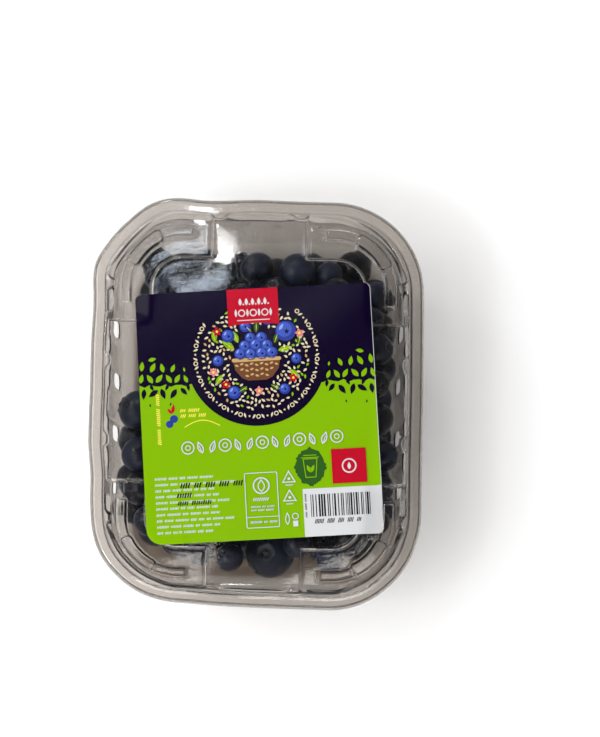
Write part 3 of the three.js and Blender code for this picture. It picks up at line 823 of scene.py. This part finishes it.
# In millimetres from the label's middle: across, then along.
labelArt = {
    "boundary": (11.8, 9.8),   # where blue meets green, at the left and the right edge
    "boundaryWave": (0.5, 1.3, 46),   # height, turns per millimetre, points
    "edge": 0.2,   # bare paper along the right edge, a painted highlight where the edge bends
    "tag": {"left": -9.2, "right": 8.8, "top": 44.5, "bottom": 31.3, "sag": 0.9},
    "redSquare": (30.6, -20.2, 12.2, 12.2),
    "disc": {
        "u": 0.1, "v": 20.4, "radius": 24.8, "ring": 21.5, "inner": 18.9, "grains": 400, "grainGap": 1.32,
        # leaves and dots round the edge, open behind the tag: how many, from which angle, over how much
        "edgeMarks": (62, 146, 259),
        # from the disc's middle: across, along, radius
        "berries": ((-9.6, 7.6, 2.3), (10.8, 8.4, 3.6), (-3.4, 10.7, 2.0), (4.4, 12.6, 1.7), (-13.6, -1.0, 1.9),
                    (14.0, -1.6, 1.8), (-8.4, -12.6, 2.3), (9.4, -12.2, 1.9)),
        "heaped": ((-5.6, 1.0, 2.1), (5.5, 1.0, 2.1), (-1.9, 0.8, 2.2), (2.0, 0.9, 2.2), (-3.8, 3.7, 2.1),
                   (0.1, 3.9, 2.3), (3.9, 3.7, 2.0), (-1.8, 6.6, 1.9), (2.1, 6.5, 2.0)),
        "bowl": ((-8.4, -1.2), (-7.7, -4.6), (-5.4, -7.6), (-3.2, -8.6),
                 (3.2, -8.6), (5.4, -7.6), (7.7, -4.6), (8.4, -1.2)),
        # across, along, turn, length
        "leaves": ((-7.6, 2.8, 2.5, 5.4), (-6.2, 5.0, 1.9, 4.6), (6.6, 4.2, 1.2, 4.4), (7.8, 1.6, 0.2, 5.2),
                   (0.4, 8.4, 1.5, 4.4), (-1.2, 8.6, 2.3, 3.6), (-12.2, -6.0, -2.2, 4.6), (11.6, -5.4, -0.8, 4.8),
                   (-3.6, -10.6, -2.6, 4.4), (4.6, -10.4, -0.5, 4.2), (-14.2, 5.6, 1.7, 4.6), (15.0, 3.2, 1.3, 4.2)),
        "flowers": ((-13.4, 9.4, "tagRed"), (-15.4, -5.0, "rosePink"), (12.6, -8.4, "tagRed"),
                    (0.4, -12.4, "rosePink"), (15.6, 7.4, "rosePink"), (-7.2, 13.4, "rosePink"),
                    (-11.2, -9.6, "tagRed")),
        # across, along, radius: grains stay out of these, besides the loose berries
        "taken": ((0, -4.6, 7.6), (0, 3.6, 8.2), (-4.5, -3.0, 5.6), (4.5, -3.0, 5.6)),
    },
    # leaves by the two edges: from the edge inwards, above the boundary, the way it points (degrees), length
    "leaves": {
        "green": (
            (0.4, 1.0, 75, 3.4), (4.8, 1.0, 122, 3.7), (5.9, 1.2, 48, 3.7), (11.4, 1.0, 122, 3.5),
            (12.6, 0.9, 58, 3.5), (17.0, 0.9, 112, 3.0), (1.0, 5.3, 82, 3.5), (4.2, 4.9, 62, 3.7),
            (8.7, 4.7, 102, 3.4), (11.5, 4.7, 66, 3.1), (16.2, 4.8, 100, 1.6), (3.6, 9.1, 12, 2.9),
        ),
        "blue": (
            (1.7, -1.0, -98, 3.8), (6.5, -1.5, -146, 4.1), (7.6, -1.0, -72, 4.0), (13.1, -1.3, -126, 4.1),
            (14.5, -0.9, -50, 3.4), (3.8, 0.5, -64, 2.5), (10.3, 0.5, -118, 2.5), (17.0, 0.4, -80, 2.6),
            (3.4, -6.3, -80, 1.2), (10.9, -6.1, -110, 1.2),
        ),
    },
    "garland": {"left": -27.6, "right": 28.6, "v": -10.3, "height": 4.7, "line": 0.42, "slope": 0.025},
    # rows of small print: left, top, widest, lines, height, pitch, stroke
    "smallPrint": ((-37.6, -21.4, 29.0, 10, 0.95, 2.12, 0.3),),
    "stamp": ((-28.6, -24.2, 20.6, 1, 1.95, 2, 0.5), (-29.9, -27.6, 6.5, 1, 1.8, 2, 0.5),
              (-29.9, -30.4, 15.0, 1, 1.5, 2, 0.45)),
    "yellowUpright": {"at": (-35.4, 2.0), "rows": ((-11.0, 0, 16.0, 1, 1.4, 2, 0.4),)},
    "yellowRows": ((-27.4, 2.4, 9.4, 2, 1.25, 1.9, 0.38),),
    "whiteRows": ((-3.4, -30.4, 6.4, 1, 1.3, 2, 0.4), (-4.4, -33.0, 8.4, 2, 0.7, 1.2, 0.22),
                  (-4.8, -38.4, 8.8, 1, 0.9, 2, 0.26), (8.0, -25.9, 2.6, 1, 0.6, 2, 0.2),
                  (8.0, -32.5, 2.6, 1, 0.6, 2, 0.2)),
    "codeRows": ((17.8, -39.2, 19.0, 1, 1.7, 2, 0.3),),
    "codeUpright": {"at": (14.7, -35.5), "rows": ((-2, 0, 8.0, 1, 0.7, 2, 0.2),)},
    "yellowArc": {"left": -26.4, "width": 12.5, "v": -3.7, "rise": 2.2, "line": 0.34},
    "codePanel": {"left": 13.8, "top": -27.6},
    "barcode": {"left": 16.4, "right": 37.8, "top": -29.7, "bottom": -37.6, "bars": (0.24, 0.36, 0.62),
                "gaps": (0.28, 0.42, 0.7)},
    "splat": {"u": 17.0, "v": -19.8, "radius": 5.6, "ragged": 0.9, "wide": 0.9, "high": 1.12},
    # drawn shapes: the kind, the line of an outlined one, then what the function of that shape takes
    "whiteMarks": (
        ("boxLine", 0.3, -0.6, -30.7, 11.7, 19.6, 0.6, 3), ("bar", -0.6, -36.6, 11.2, 0.25),
        ("ring", 0.5, -0.6, -25.6, 3.0, 30), ("leafLine", 0.4, -0.6, -27.9, 4.7, 2.6, upwards, 9),
        ("ring", 0.4, 9.2, -23.6, 2.9, 3, upwards), ("dot", 9.2, -23.7, 0.5, 10),
        ("ring", 0.4, 9.2, -30.2, 2.9, 3, upwards), ("dot", 9.2, -30.3, 0.5, 10),
        ("leafLine", 0.32, 8.0, -40.0, 4.6, 1.7, upwards, 7), ("ring", 0.32, 10.8, -37.0, 1.2, 18),
        ("bar", 10.8, -39.6, 1.8, 2.0), ("ring", 0.5, 30.6, -20.2, 2.6, 28), ("leaf", 30.6, -21.5, 2.6, 1.2, upwards),
    ),
    "potMarks": (("bar", 17.0, -16.6, 6.4, 0.3), ("bar", 17.0, -15.8, 4.6, 0.3), ("leaf", 17.0, -21.9, 3.0, 1.3, 1.1),
                 ("leaf", 17.0, -21.9, 3.0, 1.3, 2.0)),
    "pot": {"at": (17.0, -19.6), "line": 0.3, "outline": ((-1.9, -4.1), (1.9, -4.1), (2.6, 2.7), (-2.6, 2.7))},
    "sprig": (("leaf", -30.4, 1.6, 3.4, 1.2, 1.4), ("leaf", -30.6, 1.4, 2.6, 1.0, 2.2)),
    "sprigBerries": (("dot", -31.6, -2.2, 1.3, 18), ("dot", -30.0, -0.4, 1.4, 18)),
}


def labelPlace(u, v):   # label millimetres to the pack's
    return moved([(u, v)], label["x"], label["y"], radians(label["turn"]))[0]


def softPast(value, width):   # 0 before 0, then value, with a smooth start
    return np.where(value < 0, 0, np.where(value < width, value * value / (2 * width), value - width / 2))


def labelHeight(x, y):   # the label sinks where the lid's corner pockets leave it free
    inset, _, _ = insideRim(x, y)
    start, end = label["free"]
    free = ease(np.abs(y), lid["armLong"] + start, lid["armLong"] + end)
    free = free * ease(np.abs(x), lid["armShort"] + start, lid["armShort"] + end)
    past = softPast(lid["panelEdge"] + label["fallFrom"] - inset, label["fallSoft"])
    droop = label["droop"] * free * (1 - np.exp(-past / label["fallReach"]))
    crease, pinch, curl = label["crease"], label["pinch"], label["curl"]
    turn = np.arctan2(y - crease["y"], x - crease["x"])
    nearLeft = (x < 0) * (y < 0)
    folds = crease["height"] * np.sin(turn * crease["folds"]) * ease(past, *crease["grows"]) * free * nearLeft
    off = (x - pinch["x"] + pinch["lean"] * (y - pinch["y"])) / pinch["width"]
    pinched = pinch["height"] * np.exp(-off ** 2) * ease(-y, *pinch["reach"])
    curled = curl["height"] * ease(x, *curl["x"]) * (1 - ease(np.abs(y - curl["y"]), *curl["reach"]))
    base = pack["lidRim"] - lid["panelDrop"] + pack["sheet"] / 2 + label["lift"]
    return base + sheetWave(x, y) - droop + folds + curled + pinched


def circle(u, v, radius, count=28, start=0.0):
    return [(u + radius * cos(start + 2 * pi * k / count),
             v + radius * sin(start + 2 * pi * k / count)) for k in range(count)]


def band(outer, inner):   # quads between two outlines with as many points
    count = len(outer)
    return [[outer[k], outer[(k + 1) % count], inner[(k + 1) % count], inner[k]] for k in range(count)]


def outlined(outline, line):   # a thin line along an outline, on its inner side
    inner = []
    for (x0, y0), (x1, y1), (x2, y2) in zip(outline[-1:] + outline[:-1], outline, outline[1:] + outline[:1]):
        a, b = Vector((x1 - x0, y1 - y0)).normalized(), Vector((x2 - x1, y2 - y1)).normalized()
        way = Vector((-(a.y + b.y), a.x + b.x))
        way = way.normalized() * line / max(0.45, way.length / 2)
        inner.append((x1 + way.x, y1 + way.y))
    return band(outline, inner)


def moved(outline, u, v, turn=0.0):
    c, s = cos(turn), sin(turn)
    return [(u + x * c - y * s, v + x * s + y * c) for x, y in outline]


def bar(u, v, width, height, turn=0.0):
    x, y = width / 2, height / 2
    return moved([(-x, -y), (x, -y), (x, y), (-x, y)], u, v, turn)


def leaf(u, v, long, wide, turn, points=7):   # from its stalk at (u, v)
    side = [(long * t, -wide / 2 * sin(pi * t ** 0.85)) for t in np.linspace(0, 1, points)]
    return moved(side + [(x, -y) for x, y in side[-2:0:-1]], u, v, turn)


def roundedBox(width, height, radii, steps=6):   # one radius, or four from the far right corner on
    radii = radii if isinstance(radii, tuple) else (radii,) * 4
    outline = []
    for k, (sx, sy, radius) in enumerate(zip((1, -1, -1, 1), (1, 1, -1, -1), radii)):
        for t in range(steps + 1):
            a = pi / 2 * (k + t / steps)
            outline.append((sx * (width / 2 - radius) + radius * cos(a),
                            sy * (height / 2 - radius) + radius * sin(a)))
    return outline


# Slanting strokes where small print would be.
def finePrint(rng, left, top, width, lines, height, pitch, stroke):
    shapes = []
    for k in range(lines):
        u, end = left, left + width * rng.uniform(0.66, 1)
        while u < end:
            for _ in range(int(rng.integers(3, 10))):
                shapes.append(bar(u, top - k * pitch, stroke, height * rng.uniform(0.8, 1.05), -0.3))
                u += stroke * 1.75
            u += height * 0.7
    return shapes


def printRows(rng, rows):
    return [shape for row in rows for shape in finePrint(rng, *row)]


def uprightRows(rng, block):
    return [moved(shape, *block["at"], upwards) for shape in printRows(rng, block["rows"])]


drawers = {
    "dot": lambda *row: [circle(*row)],
    "leaf": lambda *row: [leaf(*row)],
    "bar": lambda *row: [bar(*row)],
    "ring": lambda line, *row: outlined(circle(*row), line),
    "leafLine": lambda line, *row: outlined(leaf(*row), line),
    "boxLine": lambda line, u, v, *row: outlined(moved(roundedBox(*row), u, v), line),
}


def drawn(rows):
    return [shape for kind, *row in rows for shape in drawers[kind](*row)]


def labelPiece(name, shapes, layer, ink, thickness=0.0):
    mesh = bmesh.new()
    for outline in shapes:
        mesh.faces.new([mesh.verts.new((float(u), float(v), 0)) for u, v in outline])
    for normal, size in ((Vector((1, 0, 0)), label["width"]), (Vector((0, 1, 0)), label["length"])):
        for place in np.arange((label["grid"] - size) / 2, size / 2, label["grid"]):
            bmesh.ops.bisect_plane(mesh, geom=mesh.verts[:] + mesh.edges[:] + mesh.faces[:],
                                   plane_co=normal * float(place), plane_no=normal)
    bmesh.ops.triangulate(mesh, faces=[f for f in mesh.faces if len(f.verts) > 4])
    for face in mesh.faces:
        if face.normal.z < 0:
            face.normal_flip()
    flat = np.array([vertex.co[:2] for vertex in mesh.verts])
    x, y = labelPlace(flat[:, 0], flat[:, 1])
    z = labelHeight(x, y) + label["layer"] * layer
    for vertex, place in zip(mesh.verts, np.column_stack([x, y, z]) * metre):
        vertex.co = place
    data = bpy.data.meshes.new(name)
    mesh.to_mesh(data)
    mesh.free()
    obj = newObject(name, data)
    if thickness:
        solid = obj.modifiers.new("thickness", "SOLIDIFY")
        solid.thickness = thickness * metre
        solid.offset = -1
        applied(obj, 30)
    else:
        data.shade_smooth()
    obj.data.materials.append(ink)
    return obj


# Uneven ink and the slight orange peel of a coated label.
def makePrintCoat():
    group, source, result = newGroup(
        "printCoat", {"Ink": (0.5, 0.5, 0.5, 1), "Unevenness": 0.1}, ("Color", "Roughness", "Height"))
    place = addNode(group, "TexCoord")
    cloud = addNode(group, "TexNoise", {"Scale": 45.0, "Detail": 3.0})
    peel = addNode(group, "TexNoise", {"Scale": 420.0})
    darker = addNode(group, "Mix", {"B": (0.45, 0.45, 0.45, 1)}, data_type="RGBA", blend_type="MULTIPLY")
    amount = addNode(group, "Math", operation="MULTIPLY")
    rough = addNode(group, "MapRange", {"To Min": 0.13, "To Max": 0.24})
    linkAll(
        group,
        (place, "Object", cloud, "Vector"), (place, "Object", peel, "Vector"), (cloud, "Fac", amount, 0),
        (source, "Unevenness", amount, 1), (amount, "Value", darker, "Factor"), (source, "Ink", darker, "A"),
        (cloud, "Fac", rough, "Value"), (darker, "Result", result, "Color"),
        (rough, "Result", result, "Roughness"), (peel, "Fac", result, "Height"),
    )
    return group


def makeInks():
    coat = makePrintCoat()
    made = {}
    for name, color in inks.items():
        material, tree, shader, _ = newMaterial(name)
        printed = useGroup(tree, coat, {"Ink": (*color, 1), "Unevenness": 0.16})
        linkAll(tree, (printed, "Color", shader, "Base Color"), (printed, "Roughness", shader, "Roughness"))
        shader.inputs["Specular IOR Level"].default_value = 0.12
        bumpFrom(tree, printed.outputs["Height"], shader, 0.1, 0.0003)
        made[name] = material
    return made


def roundBerry(shapes, u, v, radius):
    shapes["berryBlue"].append(circle(u, v, radius, 30))
    shapes["midBlue"].append(circle(u - radius * 0.12, v + radius * 0.14, radius * 0.74, 26))
    shapes["paleBlue"].append(leaf(u - radius * 0.62, v + radius * 0.12, radius * 0.75, radius * 0.3, 0.95))
    star = [(u + 0.1 * radius + (0.3 if j % 2 else 0.13) * radius * cos(pi * j / 5 + u),
             v - 0.05 * radius + (0.3 if j % 2 else 0.13) * radius * sin(pi * j / 5 + u)) for j in range(10)]
    shapes["nightBlue"].append(star)


def edgeMarks(u, v):   # pairs of leaves, and dots and rings between them, round the disc's edge
    disc = labelArt["disc"]
    count, start, over = disc["edgeMarks"]
    shapes = []
    for k in range(count):
        a = radians(start + over * k / (count - 1))
        x, y = u + disc["ring"] * cos(a), v + disc["ring"] * sin(a)
        if k % 4 == 3:
            shapes.append(circle(x, y, 0.34, 10))
        elif k % 4 == 1:
            shapes += band(circle(x, y, 0.82, 14), circle(x, y, 0.5, 14))
        else:
            away = a + (0.5 if k % 4 else -0.5)
            shapes.append(leaf(x - 0.95 * cos(away), y - 0.95 * sin(away), 1.9, 0.72, away))
    return shapes


def discShapes(rng):   # a bowl heaped with berries, leaves and flowers, in a ring of seeds
    disc = labelArt["disc"]
    u, v = disc["u"], disc["v"]
    shapes = {ink: [] for ink in ("cream", "tan", "brown", "darkGreen", "leafGreen", "tagRed", "rosePink",
                                  "berryBlue", "midBlue", "paleBlue", "nightBlue", "yellow")}
    shapes["cream"] += edgeMarks(u, v)
    shapes["brown"].append([(u + x, v + y) for x, y in disc["bowl"]])
    for row in range(3):   # a woven look
        for k in range(9 - row * 2):
            x = (k - (8 - row * 2) / 2) * 1.75
            lean = 0.35 if (k + row) % 2 else -0.35
            shapes["tan"].append(leaf(u + x - 0.7, v - 2.9 - row * 1.9, 1.5, 0.75, lean))
    shapes["tan"].append(moved(roundedBox(17.4, 1.3, 0.6, 3), u, v - 1.2))
    for x, y, radius in (*disc["berries"], *disc["heaped"]):
        roundBerry(shapes, u + x, v + y, radius)
    for x, y, turn, long in disc["leaves"]:
        ink = "leafGreen" if long > 4.5 else "darkGreen"
        shapes[ink].append(leaf(u + x, v + y, long, long * 0.42, turn))
        shapes["yellow"].append(leaf(u + x, v + y, long * 0.86, 0.22, turn, 3))
    for x, y, ink in disc["flowers"]:
        shapes[ink] += [leaf(u + x, v + y, 1.75, 1.15, 2 * pi * k / 5 + x) for k in range(5)]
        shapes["yellow"].append(circle(u + x, v + y, 0.42, 10))
    taken = [(x, y, radius + 0.75) for x, y, radius in disc["berries"]] + list(disc["taken"])
    grains = []
    for _ in range(disc["grains"] * 9):   # grains fill what is left
        a, far = rng.uniform(0, 2 * pi), disc["inner"] * sqrt(rng.random())
        x, y = far * cos(a), far * sin(a)
        near = taken + [(gx, gy, disc["grainGap"]) for gx, gy in grains]
        if any(hypot(x - tx, y - ty) < reach for tx, ty, reach in near):
            continue
        grains.append((x, y))
        ink = "leafGreen" if len(grains) % 9 == 4 else "tan" if len(grains) % 11 == 7 else "cream"
        turn, long = rng.uniform(0, 2 * pi), rng.uniform(1.25, 1.75)
        start = (u + x - long / 2 * cos(turn), v + y - long / 2 * sin(turn))
        shapes[ink].append(leaf(*start, long, 0.78, turn, 6))
    return shapes


def boundaryAt(u):
    left, right = labelArt["boundary"]
    return left + (right - left) * (u / label["width"] + 0.5)


def leafBand(side):   # loose leaves above and below the boundary of the two fields
    art = labelArt["leaves"]
    taller = 1.12 if side > 0 else 1

    def laid(rows, wide):
        shapes = []
        for along, up, degrees, long in rows:
            u = side * (label["width"] / 2 - along)
            turn = radians(degrees if side < 0 else 180 - degrees)
            shapes.append(leaf(u, boundaryAt(u) + up * taller, long, long * wide, turn, 8))
        return shapes

    return laid(art["green"], 0.47), laid(art["blue"], 0.46)


def garland():   # where the name would stand: a thin row of rings, leaves and berries
    art = labelArt["garland"]
    shapes = []
    for k, u in enumerate(np.arange(art["left"] + 2, art["right"], art["height"] * 0.93)):
        v, half = art["v"] + art["slope"] * u, art["height"] / 2
        if k % 3 == 0:
            shapes += band(circle(u, v, half, 32), circle(u, v, half - art["line"], 32))
            shapes += band(circle(u, v, half * 0.42, 20), circle(u, v, half * 0.42 - art["line"] * 0.8, 20))
        else:
            lean = 0.35 if k % 3 == 1 else -0.35
            start = (u + sin(lean) * half, v - half)
            blade = leaf(*start, art["height"], art["height"] * 0.46, pi / 2 + lean, 9)
            shapes += outlined(blade, art["line"])
            shapes.append(bar(u, v - half * 0.25, art["line"] * 0.8, half, lean))
    return shapes


def labelFields(outline):   # the blue one above the boundary and the green one below it
    halfU, edge = label["width"] / 2, labelArt["edge"]
    height, turns, count = labelArt["boundaryWave"]
    # the print stops short of the right edge: bare paper there is a painted highlight
    printed = [(u - edge * (u > 0), v) for u, v in outline]
    wave = [(u, boundaryAt(u) + height * sin(u * turns)) for u in np.linspace(-halfU, halfU - edge, count)]
    return [p for p in printed if p[1] > 0] + wave, [p for p in printed if p[1] <= 0] + wave[::-1]


def tagShape():
    tag = labelArt["tag"]
    bottom = [(u, tag["bottom"] + tag["sag"] * (1 - (2 * k / 10 - 1) ** 2))
              for k, u in enumerate(np.linspace(tag["left"], tag["right"], 11))]
    return bottom + [(tag["right"], tag["top"]), (tag["left"], tag["top"])]


def tagMarks():   # leaves and dots over a row of rings and leaves, and a line
    shapes = [bar(-0.2, 33.3, 11.5, 0.3)]
    for k in range(5):
        shapes += [leaf(-4.6 + 2.2 * k, 38.6, 2.6, 1.15, upwards, 8), circle(-3.5 + 2.2 * k, 39.0, 0.3, 10)]
    for k in range(7):
        u = -6.3 + 2.05 * k
        ring = band(circle(u, 35.9, 1.3, 20), circle(u, 35.9, 0.9, 20))
        shapes += ring if k % 2 else [leaf(u, 34.6, 2.8, 0.9, upwards, 8)]
    return shapes


def yellowMarks(rng):
    arc = labelArt["yellowArc"]
    shapes = uprightRows(rng, labelArt["yellowUpright"]) + printRows(rng, labelArt["yellowRows"])
    curve = [(arc["left"] + arc["width"] * t, arc["v"] + arc["rise"] * sin(pi * t))
             for t in np.linspace(0, 1, 15)]
    return shapes + [[a, b, (b[0], b[1] + arc["line"]), (a[0], a[1] + arc["line"])] for a, b in zip(curve, curve[1:])]


def codeBars(rng):   # bars that encode nothing
    code = labelArt["barcode"]
    bars, u = [], code["left"]
    while u < code["right"] - 0.5:
        wide = float(rng.choice(code["bars"]))
        bars.append(bar(u + wide / 2, (code["top"] + code["bottom"]) / 2, wide, code["top"] - code["bottom"]))
        u += wide + float(rng.choice(code["gaps"]))
    return bars + printRows(rng, labelArt["codeRows"]) + uprightRows(rng, labelArt["codeUpright"])


def codePanel(outline):
    left, top = labelArt["codePanel"]["left"], labelArt["codePanel"]["top"]
    corner = [p for p in outline if p[0] > left and p[1] < top]
    return [(left, -label["length"] / 2), *corner, (label["width"] / 2, top), (left, top)]


def makeLabel(ink):
    rng = np.random.default_rng(11)
    outline = roundedBox(label["width"], label["length"], label["corners"])
    upper, lower = labelFields(outline)
    disc, splat, pot = labelArt["disc"], labelArt["splat"], labelArt["pot"]
    above, below = (left + right for left, right in zip(leafBand(-1), leafBand(1)))
    fine, stamp = printRows(rng, labelArt["smallPrint"]), printRows(rng, labelArt["stamp"])
    yellow = yellowMarks(rng)
    white = garland() + drawn(labelArt["whiteMarks"]) + printRows(rng, labelArt["whiteRows"])
    around = zip(np.linspace(0, 2 * pi, 74)[:-1], splat["radius"] + splat["ragged"] * rng.random(73) ** 2)
    blot = [(splat["u"] + far * splat["wide"] * cos(a), splat["v"] + far * splat["high"] * sin(a))
            for a, far in around]
    potMarks = outlined(moved(pot["outline"], *pot["at"]), pot["line"]) + drawn(labelArt["potMarks"])
    prints = [
        ("labelSheet", "paperWhite", 0, [outline]), ("blueField", "nightBlue", 1, [upper]),
        ("greenField", "leafGreen", 1, [lower]),
        ("discField", "nightBlue", 3, [circle(disc["u"], disc["v"], disc["radius"], 90)]),
        ("redFields", "tagRed", 8, [tagShape(), bar(*labelArt["redSquare"])]),
        ("greenLeaves", "leafGreen", 2, above), ("blueLeaves", "nightBlue", 2, below),
        ("darkSplat", "darkGreen", 2, [blot]), ("codePanel", "printWhite", 2, [codePanel(outline)]),
        ("codeBars", "black", 3, codeBars(rng)), ("smallPrint", "printWhite", 2, fine),
        ("whiteMarks", "printWhite", 9, white), ("potMarks", "leafGreen", 3, potMarks),
        ("tagMarks", "printWhite", 9, tagMarks()), ("stamp", "black", 3, stamp),
        ("yellowMarks", "yellow", 2, yellow), ("littleSprig", "tagRed", 3, drawn(labelArt["sprig"])),
        ("littleBerries", "berryBlue", 3, drawn(labelArt["sprigBerries"])),
    ]
    order = {"cream": 4, "brown": 4, "tan": 5, "darkGreen": 4, "leafGreen": 4, "tagRed": 5, "rosePink": 5,
             "berryBlue": 5, "midBlue": 6, "paleBlue": 7, "nightBlue": 7, "yellow": 6}
    for name, shapes in discShapes(rng).items():
        prints.append(("disc" + name[0].upper() + name[1:], name, order[name], shapes))
    return [labelPiece(name, shapes, layer, ink[inkName], label["thickness"] if layer == 0 else 0)
            for name, inkName, layer, shapes in prints]


trayPiece = makeTray()
trayPiece.data.materials.append(makeClearPlastic("tray"))
print("tray:", len(trayPiece.data.polygons), "faces")
lidPiece = makeLid()
for slot, name in enumerate(("lid", "lidEdgeShade")):
    lidPiece.data.materials[slot] = makeClearPlastic(name)
print("lid:", len(lidPiece.data.polygons), "faces")
berryPiece, berryPlaces, berryRadii = makeBerries()
berryMaterials = makeBerrySkins()
for skin in berryMaterials:
    berryPiece.data.materials.append(skin)
corePiece = makeHeapCore(berryPlaces, berryRadii)
corePiece.data.materials.append(berryMaterials[2])
print("berries:", len(berryRadii), "with", len(berryPiece.data.polygons), "faces; core", len(corePiece.data.polygons))
labelPieces = makeLabel(makeInks())
print("label:", len(labelPieces), "print pieces")

for piece, node, slot in ((trayPiece, "tray", "tray"), (lidPiece, "lid", "lid"), (berryPiece, "berries", "berries"),
                          (corePiece, "berries", "berries"), *[(p, "label", "label") for p in labelPieces]):
    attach(piece, "root")
    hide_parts(node)

stage = {
    "floorSize": 6.0,
    "floorColor": (0.93, 0.93, 0.93),
    "floorGrain": 0.97,   # how dark its darkest grain is, against the colour
    "sky": (0.93, 0.96, 1.0),
    "skyStrength": 1.36,
    "ceiling": 0.03,   # the room is darker straight above
    "ceilingFrom": (0.2, 0.95),   # heights of the sky's directions between which that grows
    "skyLean": -0.33,   # and to the right
    # place, aim, width, height, watts, colour
    "lamps": {
        "windowLeft": ((-1.2, -0.2, 1.15), (0, 0, 0), 1.5, 1.5, 21.5, (1.0, 0.99, 0.98)),
        "windowFar": ((-0.25, 1.15, 0.95), (0, 0, 0.04), 0.2, 0.12, 2.8, (1.0, 1.0, 1.0)),
        "windowUpper": ((-0.9, 0.8, 0.95), (0, 0, 0.04), 0.25, 0.25, 3.2, (1.0, 1.0, 1.0)),
        "fillRight": ((1.2, -0.3, 0.9), (0, 0, 0), 0.35, 0.35, 1.8, (1.0, 0.9, 0.8)),
        "frontFill": ((-0.1, -1.25, 0.75), (0, 0, 0), 1.0, 0.5, 7.0, (1.0, 0.99, 0.97)),
        "nearLeft": ((-0.72, -0.3, 1.15), (0, 0, 0.04), 0.16, 0.16, 2.0, (1.0, 1.0, 1.0)),
        "streak": ((-0.045, 0.300, 1.25), (-0.012, 0.057, 0.04), 0.012, 0.058, 0.21, (1.0, 1.0, 1.0)),
        "nearRim": ((-0.010, 0.025, 1.25), (0, -0.06, 0.04), 0.16, 0.020, 0.058, (1.0, 0.97, 0.94)),
        "sheen": ((-0.060, 0.241, 1.25), (-0.02, 0.046, 0.04), 0.056, 0.022, 0.038, (0.75, 0.86, 1.0)),
    },
}
cameraView = {
    "distance": 1.4,
    "tilt": 8.0,   # degrees off straight down, from the near end
    "roll": 1.16,   # the pack lies turned by this in the frame
    "pixelsPerMm": 2.839,
    "frame": (600, 737),
    "packMiddle": (256.5, 402.0),   # where the pack's middle falls in the frame
    "height": 0.0415,   # of the rim, where the scale is taken
}


def makeFloor():
    size = stage["floorSize"] / 2
    mesh = bpy.data.meshes.new("floor")
    mesh.from_pydata([(-size, -size, 0), (size, -size, 0), (size, size, 0), (-size, size, 0)], [], [[0, 1, 2, 3]])
    floor = newObject("floor", mesh)
    material, tree, shader, _ = newMaterial("floorPaint")
    grain = addNode(tree, "TexNoise", {"Scale": 30.0})
    darker = [c * stage["floorGrain"] for c in stage["floorColor"]]
    tone = addNode(tree, "Mix", {"A": (*stage["floorColor"], 1), "B": (*darker, 1)}, data_type="RGBA")
    linkAll(tree, (grain, "Fac", tone, "Factor"), (tone, "Result", shader, "Base Color"))
    shader.inputs["Roughness"].default_value = 0.9
    mesh.materials.append(material)


def makeSky():
    world = bpy.data.worlds.new("studio")
    scene.world = world
    world.use_nodes = True
    tree = world.node_tree
    background = tree.nodes["Background"]
    background.inputs["Color"].default_value = (*stage["sky"], 1)
    place = addNode(tree, "TexCoord")
    parts = addNode(tree, "SeparateXYZ")
    low, high = stage["ceilingFrom"]
    strength = stage["skyStrength"]
    fade = addNode(tree, "MapRange", {"From Min": low, "From Max": high, "To Min": strength,
                                      "To Max": strength * stage["ceiling"]})
    lean = addNode(tree, "Math", {1: stage["skyLean"], 2: 1}, operation="MULTIPLY_ADD")
    both = addNode(tree, "Math", operation="MULTIPLY")
    linkAll(
        tree,
        (place, "Generated", parts, "Vector"), (parts, "Z", fade, "Value"), (parts, "X", lean, 0),
        (fade, "Result", both, 0), (lean, "Value", both, 1), (both, "Value", background, "Strength"),
    )


def makeLamps():
    for name, (spot, aim, wide, high, watts, color) in stage["lamps"].items():
        lamp = bpy.data.lights.new(name, "AREA")
        lamp.shape = "RECTANGLE"
        lamp.size, lamp.size_y = wide, high
        lamp.energy = watts
        lamp.color = color
        obj = newObject(name, lamp)
        way = Vector(aim) - Vector(spot)
        obj.matrix_world = Matrix.Translation(spot) @ way.to_track_quat("-Z", "Y").to_matrix().to_4x4()


def makeCamera():
    view = cameraView
    wide, high = view["frame"]
    roll, tilt = radians(view["roll"]), radians(view["tilt"])
    right = Vector((cos(roll), sin(roll), 0))
    ahead = Vector((-sin(roll), cos(roll), 0))   # up the frame, along the floor
    offRight = (wide / 2 - view["packMiddle"][0]) / view["pixelsPerMm"] * metre
    offUp = (view["packMiddle"][1] - high / 2) / view["pixelsPerMm"] * metre / cos(tilt)
    target = right * offRight + ahead * offUp + Vector((0, 0, view["height"]))
    back = (Vector((0, 0, 1)) * cos(tilt) - ahead * sin(tilt)).normalized()
    up = back.cross(right)
    data = bpy.data.cameras.new("camera")
    data.lens = data.sensor_width * view["distance"] / (high / view["pixelsPerMm"] * metre)
    data.clip_start = 0.05
    camera = newObject("camera", data)
    turn = Matrix((right, up, back)).transposed().to_4x4()
    camera.matrix_world = Matrix.Translation(target + back * view["distance"]) @ turn
    scene.camera = camera


makeFloor()
makeSky()
makeLamps()
makeCamera()
scene.view_settings.view_transform = "Standard"
print("stage, lamps and camera are set")
